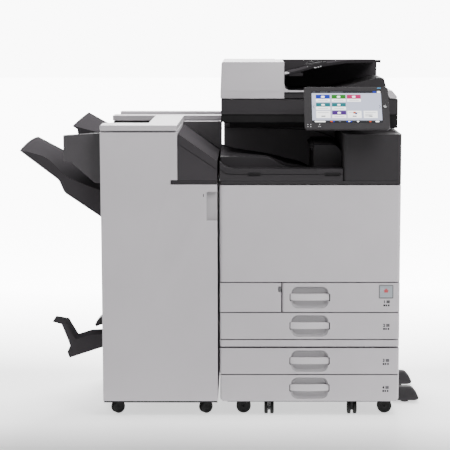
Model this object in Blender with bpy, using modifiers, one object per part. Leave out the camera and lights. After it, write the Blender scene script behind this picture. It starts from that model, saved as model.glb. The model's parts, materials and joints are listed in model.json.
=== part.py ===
"""A colour photocopier: printer body on a two-drawer bank, scanner, document feeder,
tilting operation panel and a booklet finisher at its left side.

Lengths are in millimetres and become metres in at(). X runs to the right, Y to the back
and Z up. X = 0 is the printer body's left edge, Y = 0 the drawers' front face and Z = 0
the floor, until at() moves the origin to the middle of the footprint.
"""

import math

import bmesh
import bpy

MM = 0.001
FRAME_CENTRE_X = 8.25
FRAME_CENTRE_Y = 273.70
GAP = 0.4

# Printer body
BODY_WIDTH = 587.0
BODY_BACK = 548.0
FRONT_THICKNESS = 20.0
CARCASS_FRONT = 23.0
WALL = 7.0
BODY_TOP = 768.6

# Rows of the front, as (bottom, top)
DOOR_Z = (450.8, 766.8)
DRAWER_Z = ((351.6, 447.2), (261.9, 348.0), (144.9, 231.2), (53.8, 141.2))
BANK_RAIL_Z = (236.9, 258.2)
NARROW_DRAWER_LEFT = 203.5
WASTE_COVER_RIGHT = 200.5

# Drawer pull
PULL_CENTRE_X = 293.5
PULL_WIDTH = 132.0
PULL_HEIGHT = 72.0
PULL_DEPTH = 15.0
PULL_BAR = (-11.0, 12.0)

# Upper part
BEZEL_Z = (770.0, 781.0)
TOWER_X = (399.0, 586.6)
TOWER_TOP = 931.0
COLUMN_FRONT = 482.0
COLUMN_LEFT = 8.0
SCANNER_X = (2.7, 586.3)
SCANNER_Y = (150.0, 556.0)
SCANNER_Z = (939.8, 1035.7)

# Document feeder
FEEDER_Y = (150.0, 552.0)
FEEDER_Z = (1038.4, 1062.0)
FEED_COVER_X = (0.5, 211.0)
FEED_COVER_Z = (1064.0, 1158.0)
FEEDER_REAR_WALL = 480.0
FEEDER_HINGE = (547.5, 1046.5)
FEED_COVER_HINGE = (3.2, 1066.0)
DOCUMENT_TRAY_HINGE = (222.0, 1121.0)

# Operation panel, described upright and then leaned back about its hinge
PANEL_X = (270.5, 540.5)
PANEL_HEIGHT = 169.0
PANEL_PLATE = 8.0
PANEL_HOUSING = 14.0
PANEL_LEAN = math.radians(41.4)
PANEL_HINGE = (-7.0, 992.0)
PANEL_OFFSET = 18.0
SCREEN_X = (295.2, 517.2)
SCREEN_Z = (-59.5, 68.5)
HOME_KEY = (528.0, 5.0)

# Finisher
FINISHER_X = (-384.0, -7.5)
FINISHER_BACK = 613.0
FINISHER_TOP = 960.0
FINISHER_COVER = 18.0
FINISHER_FLOOR = 54.0
RECESS_LEFT = -136.0
RECESS_FLOOR = 782.0
RECESS_BACK = 490.0
FINISHER_DOOR_HINGE = (-380.0, 4.0)

# Casters: wheel radius, half width of the pair, half of the gap between the wheels
BODY_CASTER = (24.0, 12.5, 3.5)
BODY_SMALL_CASTER = (22.0, 16.0, 3.5)
FINISHER_CASTER = (21.5, 12.0, 3.5)
AXLE_RADIUS = 3.0
AXLE_CLEARANCE = 0.7
BODY_PLATE_Z = (52.0, 55.6)
FINISHER_PLATE_Z = (46.0, 53.6)

# Finishes: colour, roughness, metallic
LIGHT = ((0.43, 0.42, 0.435), 0.45, 0.0)
LIGHT_TOP = ((0.60, 0.59, 0.60), 0.45, 0.0)
DARK = ((0.035, 0.034, 0.036), 0.5, 0.0)
DARKER = ((0.012, 0.012, 0.013), 0.55, 0.0)
INNER = ((0.14, 0.14, 0.145), 0.55, 0.0)
BLACK_GLASS = ((0.01, 0.01, 0.012), 0.08, 0.0)
CLEAR_GLASS = ((0.75, 0.80, 0.80), 0.05, 0.0)
RUBBER = ((0.01, 0.01, 0.01), 0.7, 0.0)
TONERS = (
    ((0.85, 0.70, 0.05), 0.4, 0.0),
    ((0.60, 0.04, 0.25), 0.4, 0.0),
    ((0.02, 0.30, 0.55), 0.4, 0.0),
    ((0.02, 0.02, 0.02), 0.4, 0.0),
)


def clear_scene():
    for thing in list(bpy.data.objects):
        bpy.data.objects.remove(thing, do_unlink=True)


clear_scene()
PARTS = bpy.data.collections.new("photocopier")
CUTTERS = bpy.data.collections.new("cutters")
bpy.context.scene.collection.children.link(PARTS)
bpy.context.scene.collection.children.link(CUTTERS)


def at(x, y, z):
    """A place in millimetres, as metres from the middle of the footprint."""
    return ((x - FRAME_CENTRE_X) * MM, (y - FRAME_CENTRE_Y) * MM, z * MM)


def collect(piece, collection):
    for owner in list(piece.users_collection):
        owner.objects.unlink(piece)
    collection.objects.link(piece)


def smooth(piece, angle=35.0):
    piece.data.shade_smooth()
    piece.data.set_sharp_from_angle(angle=math.radians(angle))


def finish(piece, look):
    """Gives a piece its own Principled material and puts it among the parts."""
    colour, roughness, metallic = look
    material = bpy.data.materials.new(piece.name + "_finish")
    material.use_nodes = True
    shader = material.node_tree.nodes["Principled BSDF"]
    shader.inputs["Base Color"].default_value = (*colour, 1.0)
    shader.inputs["Roughness"].default_value = roughness
    shader.inputs["Metallic"].default_value = metallic
    piece.data.materials.clear()
    piece.data.materials.append(material)
    collect(piece, PARTS)
    return piece


def box(name, xs, ys, zs):
    """A box between two corners."""
    middle = [(low + high) / 2 for low, high in (xs, ys, zs)]
    bpy.ops.mesh.primitive_cube_add(size=1.0, location=at(*middle))
    piece = bpy.context.object
    piece.name = name
    piece.scale = [(high - low) * MM for low, high in (xs, ys, zs)]
    bpy.ops.object.transform_apply(location=False, rotation=False, scale=True)
    return piece


def prism(name, outline, axis, low, high):
    """A flat outline pushed along an axis: (x, z) along Y, (y, z) along X, (x, y) along Z."""
    curve = bpy.data.curves.new(name, "CURVE")
    curve.dimensions = "2D"
    curve.fill_mode = "BOTH"
    curve.extrude = (high - low) / 2 * MM
    spline = curve.splines.new("POLY")
    spline.points.add(len(outline) - 1)
    for point, (across, up) in zip(spline.points, outline):
        point.co = (across * MM, up * MM, 0.0, 1.0)
    spline.use_cyclic_u = True
    source = bpy.data.objects.new(name + "_outline", curve)
    PARTS.objects.link(source)
    graph = bpy.context.evaluated_depsgraph_get()
    mesh = bpy.data.meshes.new_from_object(source.evaluated_get(graph))
    bpy.data.objects.remove(source, do_unlink=True)
    shape = bmesh.new()
    shape.from_mesh(mesh)
    bmesh.ops.remove_doubles(shape, verts=shape.verts, dist=1e-6)
    bmesh.ops.recalc_face_normals(shape, faces=shape.faces)
    shape.to_mesh(mesh)
    shape.free()
    piece = bpy.data.objects.new(name, mesh)
    middle = (low + high) / 2
    if axis == "Y":
        piece.location = at(0.0, middle, 0.0)
        piece.rotation_euler = (math.pi / 2, 0.0, 0.0)
    elif axis == "X":
        piece.location = at(middle, 0.0, 0.0)
        piece.rotation_euler = (math.pi / 2, 0.0, math.pi / 2)
    else:
        piece.location = at(0.0, 0.0, middle)
    PARTS.objects.link(piece)
    bpy.context.view_layer.update()
    return piece


def turned(name, profile, steps):
    """A profile of (radius, height) points, from the top of its axis to the bottom, turned about Z."""
    mesh = bpy.data.meshes.new(name)
    points = [(radius * MM, 0.0, height * MM) for radius, height in profile]
    edges = [(index, index + 1) for index in range(len(points) - 1)]
    mesh.from_pydata(points, edges, [])
    piece = bpy.data.objects.new(name, mesh)
    PARTS.objects.link(piece)
    screw = piece.modifiers.new("turn", "SCREW")
    screw.steps = steps
    screw.render_steps = steps
    screw.use_merge_vertices = True
    screw.merge_threshold = 1e-5
    return piece


def cylinder(name, radius, low, high, steps=20):
    return turned(name, [(0.0, high), (radius, high), (radius, low), (0.0, low)], steps)


def along_y(piece, x, y, z):
    """Lays a turned piece along Y: its own +Z end comes to the front."""
    piece.location = at(x, y, z)
    piece.rotation_euler = (math.pi / 2, 0.0, 0.0)
    return piece


def as_tool(tool):
    collect(tool, CUTTERS)
    tool.hide_render = True
    tool.display_type = "WIRE"
    return tool


def combine(piece, tool, operation, solver="EXACT"):
    change = piece.modifiers.new(tool.name, "BOOLEAN")
    change.operation = operation
    change.solver = solver
    change.object = as_tool(tool)
    return piece


def cut(piece, tool):
    return combine(piece, tool, "DIFFERENCE")


def add(piece, tool):
    return combine(piece, tool, "UNION")


def bevel(piece, width, segments=2, angle=40.0):
    change = piece.modifiers.new("rounded edges", "BEVEL")
    change.width = width * MM
    change.segments = segments
    change.limit_method = "ANGLE"
    change.angle_limit = math.radians(angle)
    return piece


def round_corner(x, y, radius, start, end, steps=4):
    """Points of an arc about (x, y) from one angle to another, in degrees."""
    angles = [math.radians(start + (end - start) * step / steps) for step in range(steps + 1)]
    return [(x + radius * math.cos(a), y + radius * math.sin(a)) for a in angles]


def rounded_rectangle(xs, zs, radius, steps=4):
    left, right = xs[0] + radius, xs[1] - radius
    bottom, top = zs[0] + radius, zs[1] - radius
    corners = ((right, top, 0), (left, top, 90), (left, bottom, 180), (right, bottom, 270))
    outline = []
    for x, z, start in corners:
        outline += round_corner(x, z, radius, start, start + 90, steps)
    return outline


def front_plate_outline(xs, ys, radius):
    """Plan of a front panel whose two front corners are rounded."""
    outline = [(xs[1], ys[1]), (xs[0], ys[1])]
    outline += round_corner(xs[0] + radius, ys[0] + radius, radius, 180, 270)
    outline += round_corner(xs[1] - radius, ys[0] + radius, radius, 270, 360)
    return outline


def front_plate(name, xs, zs, radius=8.0, thickness=FRONT_THICKNESS):
    outline = front_plate_outline(xs, (0.0, thickness), radius)
    return prism(name, outline, "Z", zs[0], zs[1])


def pivot(name, x, y, z):
    """An empty on a joint's axis, for the pieces that move about it."""
    mark = bpy.data.objects.new(name + "_axis", None)
    mark.location = at(x, y, z)
    mark.empty_display_size = 0.03
    PARTS.objects.link(mark)
    bpy.context.view_layer.update()
    return mark


def hang(pieces, mark):
    """Parents pieces to an empty and leaves them where they are."""
    for piece in pieces:
        piece.parent = mark
        piece.matrix_parent_inverse = mark.matrix_world.inverted()


# Casters ---------------------------------------------------------------------------------


def caster_web_outline(radius, trail, top):
    """Side view of the web between the wheels, from the axle at (-trail, radius) up to the mount."""
    return [(-trail - 8, radius - 8), (-trail + 8, radius - 8), (10, top), (-10, top)]


def caster_web(name, x, y, heading, size, trail, top):
    radius, half_width, half_gap = size
    web = prism(name, caster_web_outline(radius, trail, top), "Y", GAP - half_gap, half_gap - GAP)
    web.location = at(x, y, 0.0)
    web.rotation_euler = (math.pi / 2, 0.0, heading)
    hole = cylinder(name + "_hole", AXLE_RADIUS + AXLE_CLEARANCE, -half_width, half_width, 16)
    hole.location = at(x - trail * math.cos(heading), y - trail * math.sin(heading), radius)
    hole.rotation_euler = (math.pi / 2, 0.0, heading)
    return cut(web, hole)


def caster_wheels(name, x, y, heading, size, trail):
    radius, half_width, half_gap = size
    half = [(0.0, half_width), (radius - 2, half_width), (radius, half_width - 2), (radius, half_gap)]
    half.append((AXLE_RADIUS, half_gap))
    profile = half + [(r, -height) for r, height in reversed(half)]
    wheels = turned(name, profile, 20)
    wheels.location = at(x - trail * math.cos(heading), y - trail * math.sin(heading), radius)
    wheels.rotation_euler = (math.pi / 2, 0.0, heading)
    smooth(wheels)
    finish(wheels, RUBBER)


def swivel_caster(name, x, y, heading, size, trail, plate_bottom):
    """A twin-wheel caster whose mount turns about the vertical line at (x, y)."""
    mount_bottom = size[0] * 2 + 0.6
    web = caster_web(name + "_swivel", x, y, heading, size, trail, mount_bottom + 1)
    mount = cylinder(name + "_mount", 15.0, mount_bottom, plate_bottom - GAP, 16)
    mount.location = at(x, y, 0.0)
    add(web, mount)
    finish(web, DARK)
    caster_wheels(name + "_wheels", x, y, heading, size, trail)


def fixed_caster(name, carrier, x, y, size, plate_bottom):
    """A twin-wheel caster that always rolls along Y, its web one piece with the carrier."""
    heading = math.pi / 2
    web = caster_web(name + "_web", x, y, heading, size, 0.0, plate_bottom + 1)
    add(carrier, web)
    caster_wheels(name + "_wheels", x, y, heading, size, 0.0)


def make_casters(base_frame, finisher_base):
    bottom = BODY_PLATE_Z[0]
    swivel_caster("front_left_caster", 87.0, 66.0, 0.0, BODY_CASTER, 10.0, bottom)
    swivel_caster("front_right_caster", 535.0, 66.0, math.pi, BODY_CASTER, 10.0, bottom)
    fixed_caster("front_inner_left_caster", base_frame, 161.5, 50.0, BODY_SMALL_CASTER, bottom)
    fixed_caster("front_inner_right_caster", base_frame, 436.0, 50.0, BODY_SMALL_CASTER, bottom)
    fixed_caster("rear_left_caster", base_frame, 80.0, 500.0, BODY_CASTER, bottom)
    fixed_caster("rear_right_caster", base_frame, 507.0, 500.0, BODY_CASTER, bottom)
    bottom = FINISHER_PLATE_Z[0]
    lean = math.radians(35.0)
    swivel_caster("finisher_front_left_caster", -334.0, 66.0, lean, FINISHER_CASTER, 8.0, bottom)
    swivel_caster("finisher_front_right_caster", -42.0, 66.0, lean, FINISHER_CASTER, 8.0, bottom)
    fixed_caster("finisher_rear_left_caster", finisher_base, -340.0, 560.0, FINISHER_CASTER, bottom)
    fixed_caster("finisher_rear_right_caster", finisher_base, -52.0, 560.0, FINISHER_CASTER, bottom)


# Printer body ----------------------------------------------------------------------------


def make_base_frame():
    plate = box("base_frame", (6, BODY_WIDTH - 6), (CARCASS_FRONT, BODY_BACK), BODY_PLATE_Z)
    lip = box("base_lip", (24, 563), (CARCASS_FRONT - 1, CARCASS_FRONT + 1.5), (46.5, 53.0))
    return add(plate, lip)


def make_stabilisers():
    """Anti-tip feet that stand out of the right side near the floor."""
    for name, front in (("front_stabiliser", 185.0), ("rear_stabiliser", 425.0)):
        bpy.ops.mesh.primitive_cube_add(size=1.0)
        foot = bpy.context.object
        foot.name = name
        length, width, height = 87.0, 62.0, 38.0
        left = BODY_WIDTH + 0.5
        for vertex in foot.data.vertices:
            x, y, z = vertex.co
            slope_x = 23.0 if z > 0 and x > 0 else 0.0
            slope_y = 11.0 if z > 0 else 0.0
            vertex.co = (
                (left + (x + 0.5) * length - slope_x - FRAME_CENTRE_X) * MM,
                (front + (y + 0.5) * width - math.copysign(slope_y, y) - FRAME_CENTRE_Y) * MM,
                (12.0 + (z + 0.5) * height) * MM,
            )
        bevel(foot, 5.0)
        pad = cylinder(name + "_pad", 14.0, 1.0, 14.0, 16)
        pad.location = at(left + 40.0, front + 31.0, 0.0)
        add(foot, pad)
        finish(foot, DARK)


def make_bank_cabinet():
    bottom = BODY_PLATE_Z[1] + GAP
    cabinet = box("bank_cabinet", (1, 586), (CARCASS_FRONT, BODY_BACK), (bottom, 259.0))
    inside = box("bank_inside", (1 + WALL, 586 - WALL), (0, BODY_BACK - WALL), (58.0, 235.4))
    rail = front_plate("bank_rail", (0.5, 586.5), BANK_RAIL_Z, 8.0, CARCASS_FRONT + 1)
    cut(cabinet, inside)
    add(cabinet, rail)
    finish(cabinet, LIGHT)


def make_main_chassis():
    chassis = box("main_chassis", (1, 586), (CARCASS_FRONT, BODY_BACK), (259.4, BODY_TOP))
    drawer_space = box("drawer_space", (1 + WALL, 586 - WALL), (0, BODY_BACK - WALL), (262.6, 445.6))
    engine_space = box("engine_space", (1 + WALL, 586 - WALL), (0, 330), (450.6, 762.0))
    side_space = box("side_space", (572.0, 600.0), (60.0, 520.0), (300.0, 750.0))
    column = box("column", (COLUMN_LEFT, 586), (COLUMN_FRONT, BODY_BACK), (BODY_TOP - 1, 939.0))
    cut(chassis, drawer_space)
    cut(chassis, engine_space)
    cut(chassis, side_space)
    add(chassis, column)
    finish(chassis, LIGHT)


def make_rear_cover():
    cover = box("rear_cover", (5, 582), (BODY_BACK + GAP, 566.0), (58.0, 936.0))
    bevel(cover, 3.0)
    inlet = box("inlet_space", (480, 512), (556, 580), (86, 112))
    cut(cover, inlet)
    finish(cover, LIGHT)


def make_toner():
    """Four toner bottles side by side behind the front door, and the waste bottle below."""
    for index in range(4):
        shape = [(0, 12), (16, 12), (18, 4), (34, 0), (36, -8), (36, -240), (30, -256), (0, -256)]
        bottle = turned("toner_bottle_%d" % (index + 1), shape, 20)
        along_y(bottle, 110.0 + 90.0 * index, 42.0, 690.0)
        smooth(bottle)
        finish(bottle, TONERS[index])
    waste = box("waste_toner_bottle", (12, 192), (26, 170), (358.0, 438.0))
    bevel(waste, 8.0)
    finish(waste, INNER)


def make_front_door():
    door = front_plate("front_door", (0.3, 586.7), DOOR_Z, 12.0)
    inside = box("door_hollow", (8, 579), (5.0, 40.0), (DOOR_Z[0] + 8, DOOR_Z[1] - 8))
    cut(door, inside)
    finish(door, LIGHT)
    hang([door], pivot("front_door", 293.5, 1.5, 456.0))


def make_waste_cover():
    cover = front_plate("waste_toner_cover", (0.3, WASTE_COVER_RIGHT), DRAWER_Z[0], 6.0)
    notch = box("notch", (189.0, 210.0), (-5.0, 10.0), (416.0, 436.0))
    inside = box("cover_hollow", (8, 184), (5.0, 40.0), (DRAWER_Z[0][0] + 8, DRAWER_Z[0][1] - 8))
    cut(cover, notch)
    cut(cover, inside)
    finish(cover, LIGHT)
    hang([cover], pivot("waste_toner_cover", 4.0, 4.0, 399.4))


def make_right_door():
    door = box("right_door", (573.0, 586.6), (61.0, 518.6), (301.0, 749.0))
    bevel(door, 3.0)
    pocket = box("bypass_pocket", (579.4, 600.0), (128.0, 452.0), (518.0, 702.0))
    cut(door, pocket)
    finish(door, LIGHT)
    tray = box("bypass_tray", (580.0, 586.6), (130.0, 450.0), (520.5, 700.0))
    bevel(tray, 2.0)
    finish(tray, LIGHT)
    hinge = pivot("right_door", 586.6, 518.6, 525.0)
    tray_hinge = pivot("bypass_tray", 586.0, 290.0, 522.0)
    hang([door, tray_hinge], hinge)
    hang([tray], tray_hinge)


def make_drawer(number, left, zs):
    name = "drawer_%d" % number
    middle = (zs[0] + zs[1]) / 2
    front = front_plate(name + "_front", (left, 586.7), zs, 8.0)
    half = PULL_WIDTH / 2
    xs = (PULL_CENTRE_X - half, PULL_CENTRE_X + half)
    recess_z = (middle - PULL_HEIGHT / 2, middle + PULL_HEIGHT / 2)
    pull = prism(name + "_recess", rounded_rectangle(xs, recess_z, 22.0), "Y", -5.0, PULL_DEPTH)
    bar_z = (middle + PULL_BAR[0], middle + PULL_BAR[1])
    bar = box(name + "_bar", (xs[0] - 2, xs[1] + 2), (1.0, 9.0), bar_z)
    cut(front, pull)
    add(front, bar)
    finish(front, LIGHT)
    box_left = max(left + 7.0, 14.0)
    box_z = (zs[0] + 4.5, zs[1] - 10.0)
    tray = box(name + "_box", (box_left, 570.0), (FRONT_THICKNESS + GAP, 520.0), box_z)
    paper = box(name + "_paper", (box_left + 4, 566.0), (26.0, 514.0), (box_z[0] + 4, box_z[1] + 20))
    cut(tray, paper)
    finish(tray, INNER)
    hang([front, tray], pivot(name, PULL_CENTRE_X, 0.0, middle))


def make_drawers():
    lefts = (NARROW_DRAWER_LEFT, 0.3, 0.3, 0.3)
    for index, zs in enumerate(DRAWER_Z):
        make_drawer(index + 1, lefts[index], zs)


# Output tray, tower and scanner ----------------------------------------------------------


def make_inner_tray():
    """The dark output tray below the scanner, with the exit unit that feeds it."""
    floor = (COLUMN_FRONT - GAP, BEZEL_Z[0] - 0.6)
    tray = box("inner_tray", (0.5, 586.5), (0.0, floor[0]), (floor[1], BEZEL_Z[1]))
    bed_outline = [(0.5, 775), (0.5, 862), (29, 852), (165, 829), (273, 802), (330, 780), (330, 775)]
    bed = prism("tray_bed", bed_outline, "Y", 90.0, floor[0])
    rim_outline = [(0.5, 776), (0.5, 842), (15, 828), (46, 820), (398, 820), (398, 776)]
    rim = prism("tray_rim", rim_outline, "Y", 0.0, 62.0)
    ridge_outline = [(0.5, 777), (0.5, 854), (143, 854), (164, 849), (195, 830), (212, 820), (212, 777)]
    ridge = prism("tray_ridge", ridge_outline, "Y", 60.0, 100.0)
    exit_outline = [(309, 779), (309, 891), (365, 891), (385, 885), (398, 868), (398, 779)]
    exit_unit = prism("tray_exit", exit_outline, "Y", 80.0, 440.0)
    for piece in (bed, rim, ridge, exit_unit):
        add(tray, piece)
    finish(tray, DARK)


def make_tower():
    """The cover over the paper path to the right of the output tray."""
    outline = [(TOWER_X[1], COLUMN_FRONT - GAP), (TOWER_X[0], COLUMN_FRONT - GAP)]
    outline += round_corner(TOWER_X[0] + 12, 12, 12, 180, 270)
    outline += round_corner(TOWER_X[1] - 12, 12, 12, 270, 360)
    tower = prism("right_tower_cover", outline, "Z", BEZEL_Z[1] + GAP, TOWER_TOP)
    inside = box("tower_hollow", (TOWER_X[0] + 4, TOWER_X[1] - 4), (5, 477), (760, TOWER_TOP - 4))
    cut(tower, inside)
    finish(tower, DARK)


def make_scanner():
    housing = box("scanner_housing", SCANNER_X, SCANNER_Y, SCANNER_Z)
    bevel(housing, 4.0)
    glass_space = box("glass_space", (24, 562), (184, 526), (1029.0, 1060.0))
    inside = box("scanner_inside", (32, 554), (192, 518), (948.0, 1060.0))
    cut(housing, glass_space)
    cut(housing, inside)
    arm_outline = [(160, 962), (160, 1010), (0, 1004), (-19, 998), (-19, 986), (0, 978), (110, 962)]
    arm = prism("panel_arm", arm_outline, "X", 405.0, 475.0)
    knuckle_space = box("knuckle_space", (420, 460), (-40, 14), (950, 1020))
    chin_outline = [(140, 930), (140, 960), (160, 960), (187, 939), (187, 930)]
    chin = prism("chin_space", chin_outline, "X", -10.0, 545.0)
    pin_hole = cylinder("arm_pin_hole", 4.0, -60.0, 60.0, 16)
    pin_hole.location = at(440.0, *PANEL_HINGE)
    pin_hole.rotation_euler = (0.0, math.pi / 2, 0.0)
    add(housing, arm)
    cut(housing, chin)
    cut(housing, knuckle_space)
    cut(housing, pin_hole)
    finish(housing, DARK)
    glass = box("platen_glass", (25, 561), (185, 525), (1029.4, 1033.4))
    finish(glass, CLEAR_GLASS)
    carriage = box("scan_carriage", (44, 96), (198, 512), (954.0, 990.0))
    bevel(carriage, 3.0)
    slot = box("carriage_slot", (64, 76), (206, 504), (980.0, 1010.0))
    cut(carriage, slot)
    finish(carriage, DARKER)
    hang([carriage], pivot("scan_carriage", 70.0, 355.0, 960.0))


def make_panel():
    """Everything here is upright about the hinge; the hinge's empty leans it back."""
    hinge_y, hinge_z = PANEL_HINGE
    back = hinge_y - PANEL_OFFSET
    middle = back - PANEL_HOUSING
    front = middle - PANEL_PLATE
    half = PANEL_HEIGHT / 2
    outline = rounded_rectangle(PANEL_X, (hinge_z - half, hinge_z + half), 9.0)
    panel = prism("operation_panel", outline, "Y", front, middle)
    bevel(panel, 1.5, 2, 60.0)
    housing_outline = rounded_rectangle((290, 520), (hinge_z - 52, hinge_z + 58), 10.0)
    housing = prism("panel_housing", housing_outline, "Y", middle - 1, back)
    add(panel, housing)
    screen_z = (hinge_z + SCREEN_Z[0], hinge_z + SCREEN_Z[1])
    pocket = box("screen_pocket", SCREEN_X, (front - 5, front + 2.2), screen_z)
    cut(panel, pocket)
    key_x, key_z = HOME_KEY[0], hinge_z + HOME_KEY[1]
    key_hole = along_y(cylinder("key_hole", 6.6, -5.0, 5.0, 20), key_x, front, key_z)
    cut(panel, key_hole)
    lug = box("lug", (422.0, 458.0), (back - 1.0, hinge_y + 6.0), (hinge_z - 6.0, hinge_z + 6.0))
    add(panel, lug)
    pin = cylinder("lug_pin", 3.0, -34.0, 34.0, 16)
    pin.location = at(440.0, hinge_y, hinge_z)
    pin.rotation_euler = (0.0, math.pi / 2, 0.0)
    add(panel, pin)
    finish(panel, DARK)
    inset = (SCREEN_X[0] + GAP, SCREEN_X[1] - GAP)
    glass_z = (screen_z[0] + GAP, screen_z[1] - GAP)
    glass = box("touchscreen", inset, (front, front + 2.2 - GAP), glass_z)
    finish(glass, BLACK_GLASS)
    key = along_y(cylinder("home_button", 6.0, -2.5, 0.4, 20), key_x, front, key_z)
    finish(key, DARKER)
    hinge = pivot("operation_panel", 440.0, hinge_y, hinge_z)
    hang([panel, glass, key, housing, pocket, key_hole, lug, pin], hinge)
    hinge.rotation_euler = (-PANEL_LEAN, 0.0, 0.0)


# Document feeder -------------------------------------------------------------------------


def tray_line(x):
    """Height of the document tray's upper face."""
    return 1137.0 + (x - 264.0) * 25.0 / 163.0


def make_feeder():
    base_outline = [(0.5, FEEDER_Z[0]), (0.5, FEEDER_Z[1]), (566, FEEDER_Z[1]), (583, FEEDER_Z[0] + 4)]
    base_outline.append((583, FEEDER_Z[0]))
    base = prism("feeder_base", base_outline, "Y", *FEEDER_Y)
    block = box("feed_block", (14, 205), (158, 544), (FEEDER_Z[1] - 2, 1112))
    wall = box("feeder_wall", (190, 541), (FEEDER_REAR_WALL, FEEDER_Y[1]), (FEEDER_Z[1] - 3, 1156))
    exit_outline = [(200, 1058), (200, 1066), (340, 1066), (515, 1103.5), (546, 1104), (546, 1058)]
    exit_tray = prism("feeder_exit_tray", exit_outline, "Y", 155.0, FEEDER_REAR_WALL + 2)
    for piece in (block, wall, exit_tray):
        add(base, piece)
    finish(base, LIGHT)

    cover = box("feed_cover", FEED_COVER_X, FEEDER_Y, FEED_COVER_Z)
    bevel(cover, 5.0)
    inside = box("cover_inside", (4, 240), (154, 548), (1050, 1154))
    wall_notch = box("wall_notch", (188, 240), (476, 570), (1050, 1170))
    cut(cover, inside)
    cut(cover, wall_notch)
    finish(cover, LIGHT)

    tray_outline = [(214, 1115), (214, 1126), (264, 1137), (427, 1162), (524, 1166), (524, 1158)]
    tray_outline += [(427, 1152), (264, 1125)]
    tray = prism("document_tray", tray_outline, "Y", 153.0, FEEDER_REAR_WALL - 2)
    finish(tray, DARK)

    guides = []
    for name, front in (("front_paper_guide", 190.0), ("rear_paper_guide", 430.0)):
        line = [(288, tray_line(288) + GAP), (352, tray_line(352) + GAP)]
        line += [(352, tray_line(352) + 9), (300, tray_line(300) + 9)]
        guide = prism(name, line, "Y", front, front + 5.0)
        finish(guide, DARKER)
        mark = pivot(name, 320.0, front, tray_line(320))
        hang([guide], mark)
        guides.append(mark)

    feeder_hinge = pivot("feeder", 293.0, *FEEDER_HINGE)
    cover_hinge = pivot("feed_cover", FEED_COVER_HINGE[0], 350.0, FEED_COVER_HINGE[1])
    tray_hinge = pivot("document_tray", DOCUMENT_TRAY_HINGE[0], 315.0, DOCUMENT_TRAY_HINGE[1])
    hang([base, cover_hinge, tray_hinge], feeder_hinge)
    hang([cover], cover_hinge)
    hang([tray] + guides, tray_hinge)


# Finisher --------------------------------------------------------------------------------


def make_finisher_base():
    left, right = FINISHER_X
    return box("finisher_base", (left + 5, right - 5), (CARCASS_FRONT, FINISHER_BACK - 4), FINISHER_PLATE_Z)


def make_finisher_cabinet():
    left, right = FINISHER_X
    top = FINISHER_TOP - FINISHER_COVER - GAP
    outline = [(left, FINISHER_FLOOR), (right, FINISHER_FLOOR), (right, top), (left, top)]
    cabinet = prism("finisher_cabinet", outline, "Y", CARCASS_FRONT, FINISHER_BACK)
    recess = box("bridge_recess", (RECESS_LEFT, 20), (0, RECESS_BACK), (RECESS_FLOOR - 1, 1000))
    lower = box("finisher_inside", (left + 8, right - 8), (0, 560), (62, RECESS_FLOOR - 22))
    upper = box("finisher_inside_top", (left + 8, RECESS_LEFT - 8), (0, 115), (700, top - 8))
    exit_well = box("exit_well", (left - 10, -244), (133, 520), (905, 1000))
    for space in (recess, lower, upper, exit_well):
        cut(cabinet, space)
    finish(cabinet, LIGHT)


def make_finisher_door():
    left, right = FINISHER_X
    outline = [(left, 54), (right, 54), (right, 769), (-158, 769), (-158, 783.5)]
    outline += [(RECESS_LEFT, 783.5), (RECESS_LEFT, 937), (left, 937)]
    door = prism("finisher_door", outline, "Y", 0.0, FRONT_THICKNESS)
    bevel(door, 1.5, 2, 60.0)
    hollow = box("finisher_door_hollow", (left + 10, -52), (6, 40), (64, 755))
    grip = box("finisher_grip", (-42, 20), (-5, 14), (651, 746))
    cut(door, hollow)
    cut(door, grip)
    finish(door, LIGHT)
    hang([door], pivot("finisher_door", *FINISHER_DOOR_HINGE, 490.0))


def make_finisher_top():
    """A front bar, a bridge and a rear bar around the open well of the upper exit."""
    left, rear_left, well_right, right = FINISHER_X[0], -388.0, -236.0, 0.0
    outline = round_corner(left + 8, 8, 8, 180, 270)
    outline += [(RECESS_LEFT, 0), (RECESS_LEFT, 527), (right, 527), (right, 612), (rear_left, 612)]
    outline += [(rear_left, 527), (well_right, 527), (well_right, 125), (left, 125)]
    underside = FINISHER_TOP - FINISHER_COVER
    cover = prism("finisher_top_cover", outline, "Z", underside, FINISHER_TOP)
    rise = box("top_rear_rise", (-366, right - 2), (600, 640), (FINISHER_TOP - 60, FINISHER_TOP + 10))
    keep_clear = box("rise_clear", (-400, 20), (590, FINISHER_BACK + GAP), (800, underside + 5))
    cut(rise, keep_clear)
    combine(cover, rise, "UNION", "MANIFOLD")
    finish(cover, LIGHT_TOP)


def make_bridge():
    """The ramp that carries sheets from the output tray up into the finisher."""
    right = FINISHER_X[1]
    outline = [(RECESS_LEFT + 1, RECESS_FLOOR - 0.4), (RECESS_LEFT + 1, 926), (-131, 931)]
    outline += [(right, 845), (right, RECESS_FLOOR - 0.4)]
    ramp = prism("bridge_cover", outline, "Y", 2.0, RECESS_BACK - 1)
    strip = box("bridge_strip", (-157, right), (1.0, 22.0), (770.5, RECESS_FLOOR))
    add(ramp, strip)
    finish(ramp, DARK)


def make_exit_frame():
    """Two side plates and a cross beam that stand out of the finisher's left side."""
    side = FINISHER_X[0] - GAP
    outline = [(side, 769), (-406, 769), (-484, 838), (-508, 840), (-508, 924), (side, 932)]
    frame = prism("exit_frame", outline, "Y", 50.0, 78.0)
    rear_plate = prism("exit_rear_plate", outline, "Y", 545.0, 573.0)
    beam = box("exit_beam", (side - 16, side), (60, 560), (846, 874))
    add(frame, beam)
    add(frame, rear_plate)
    finish(frame, DARK)


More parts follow.
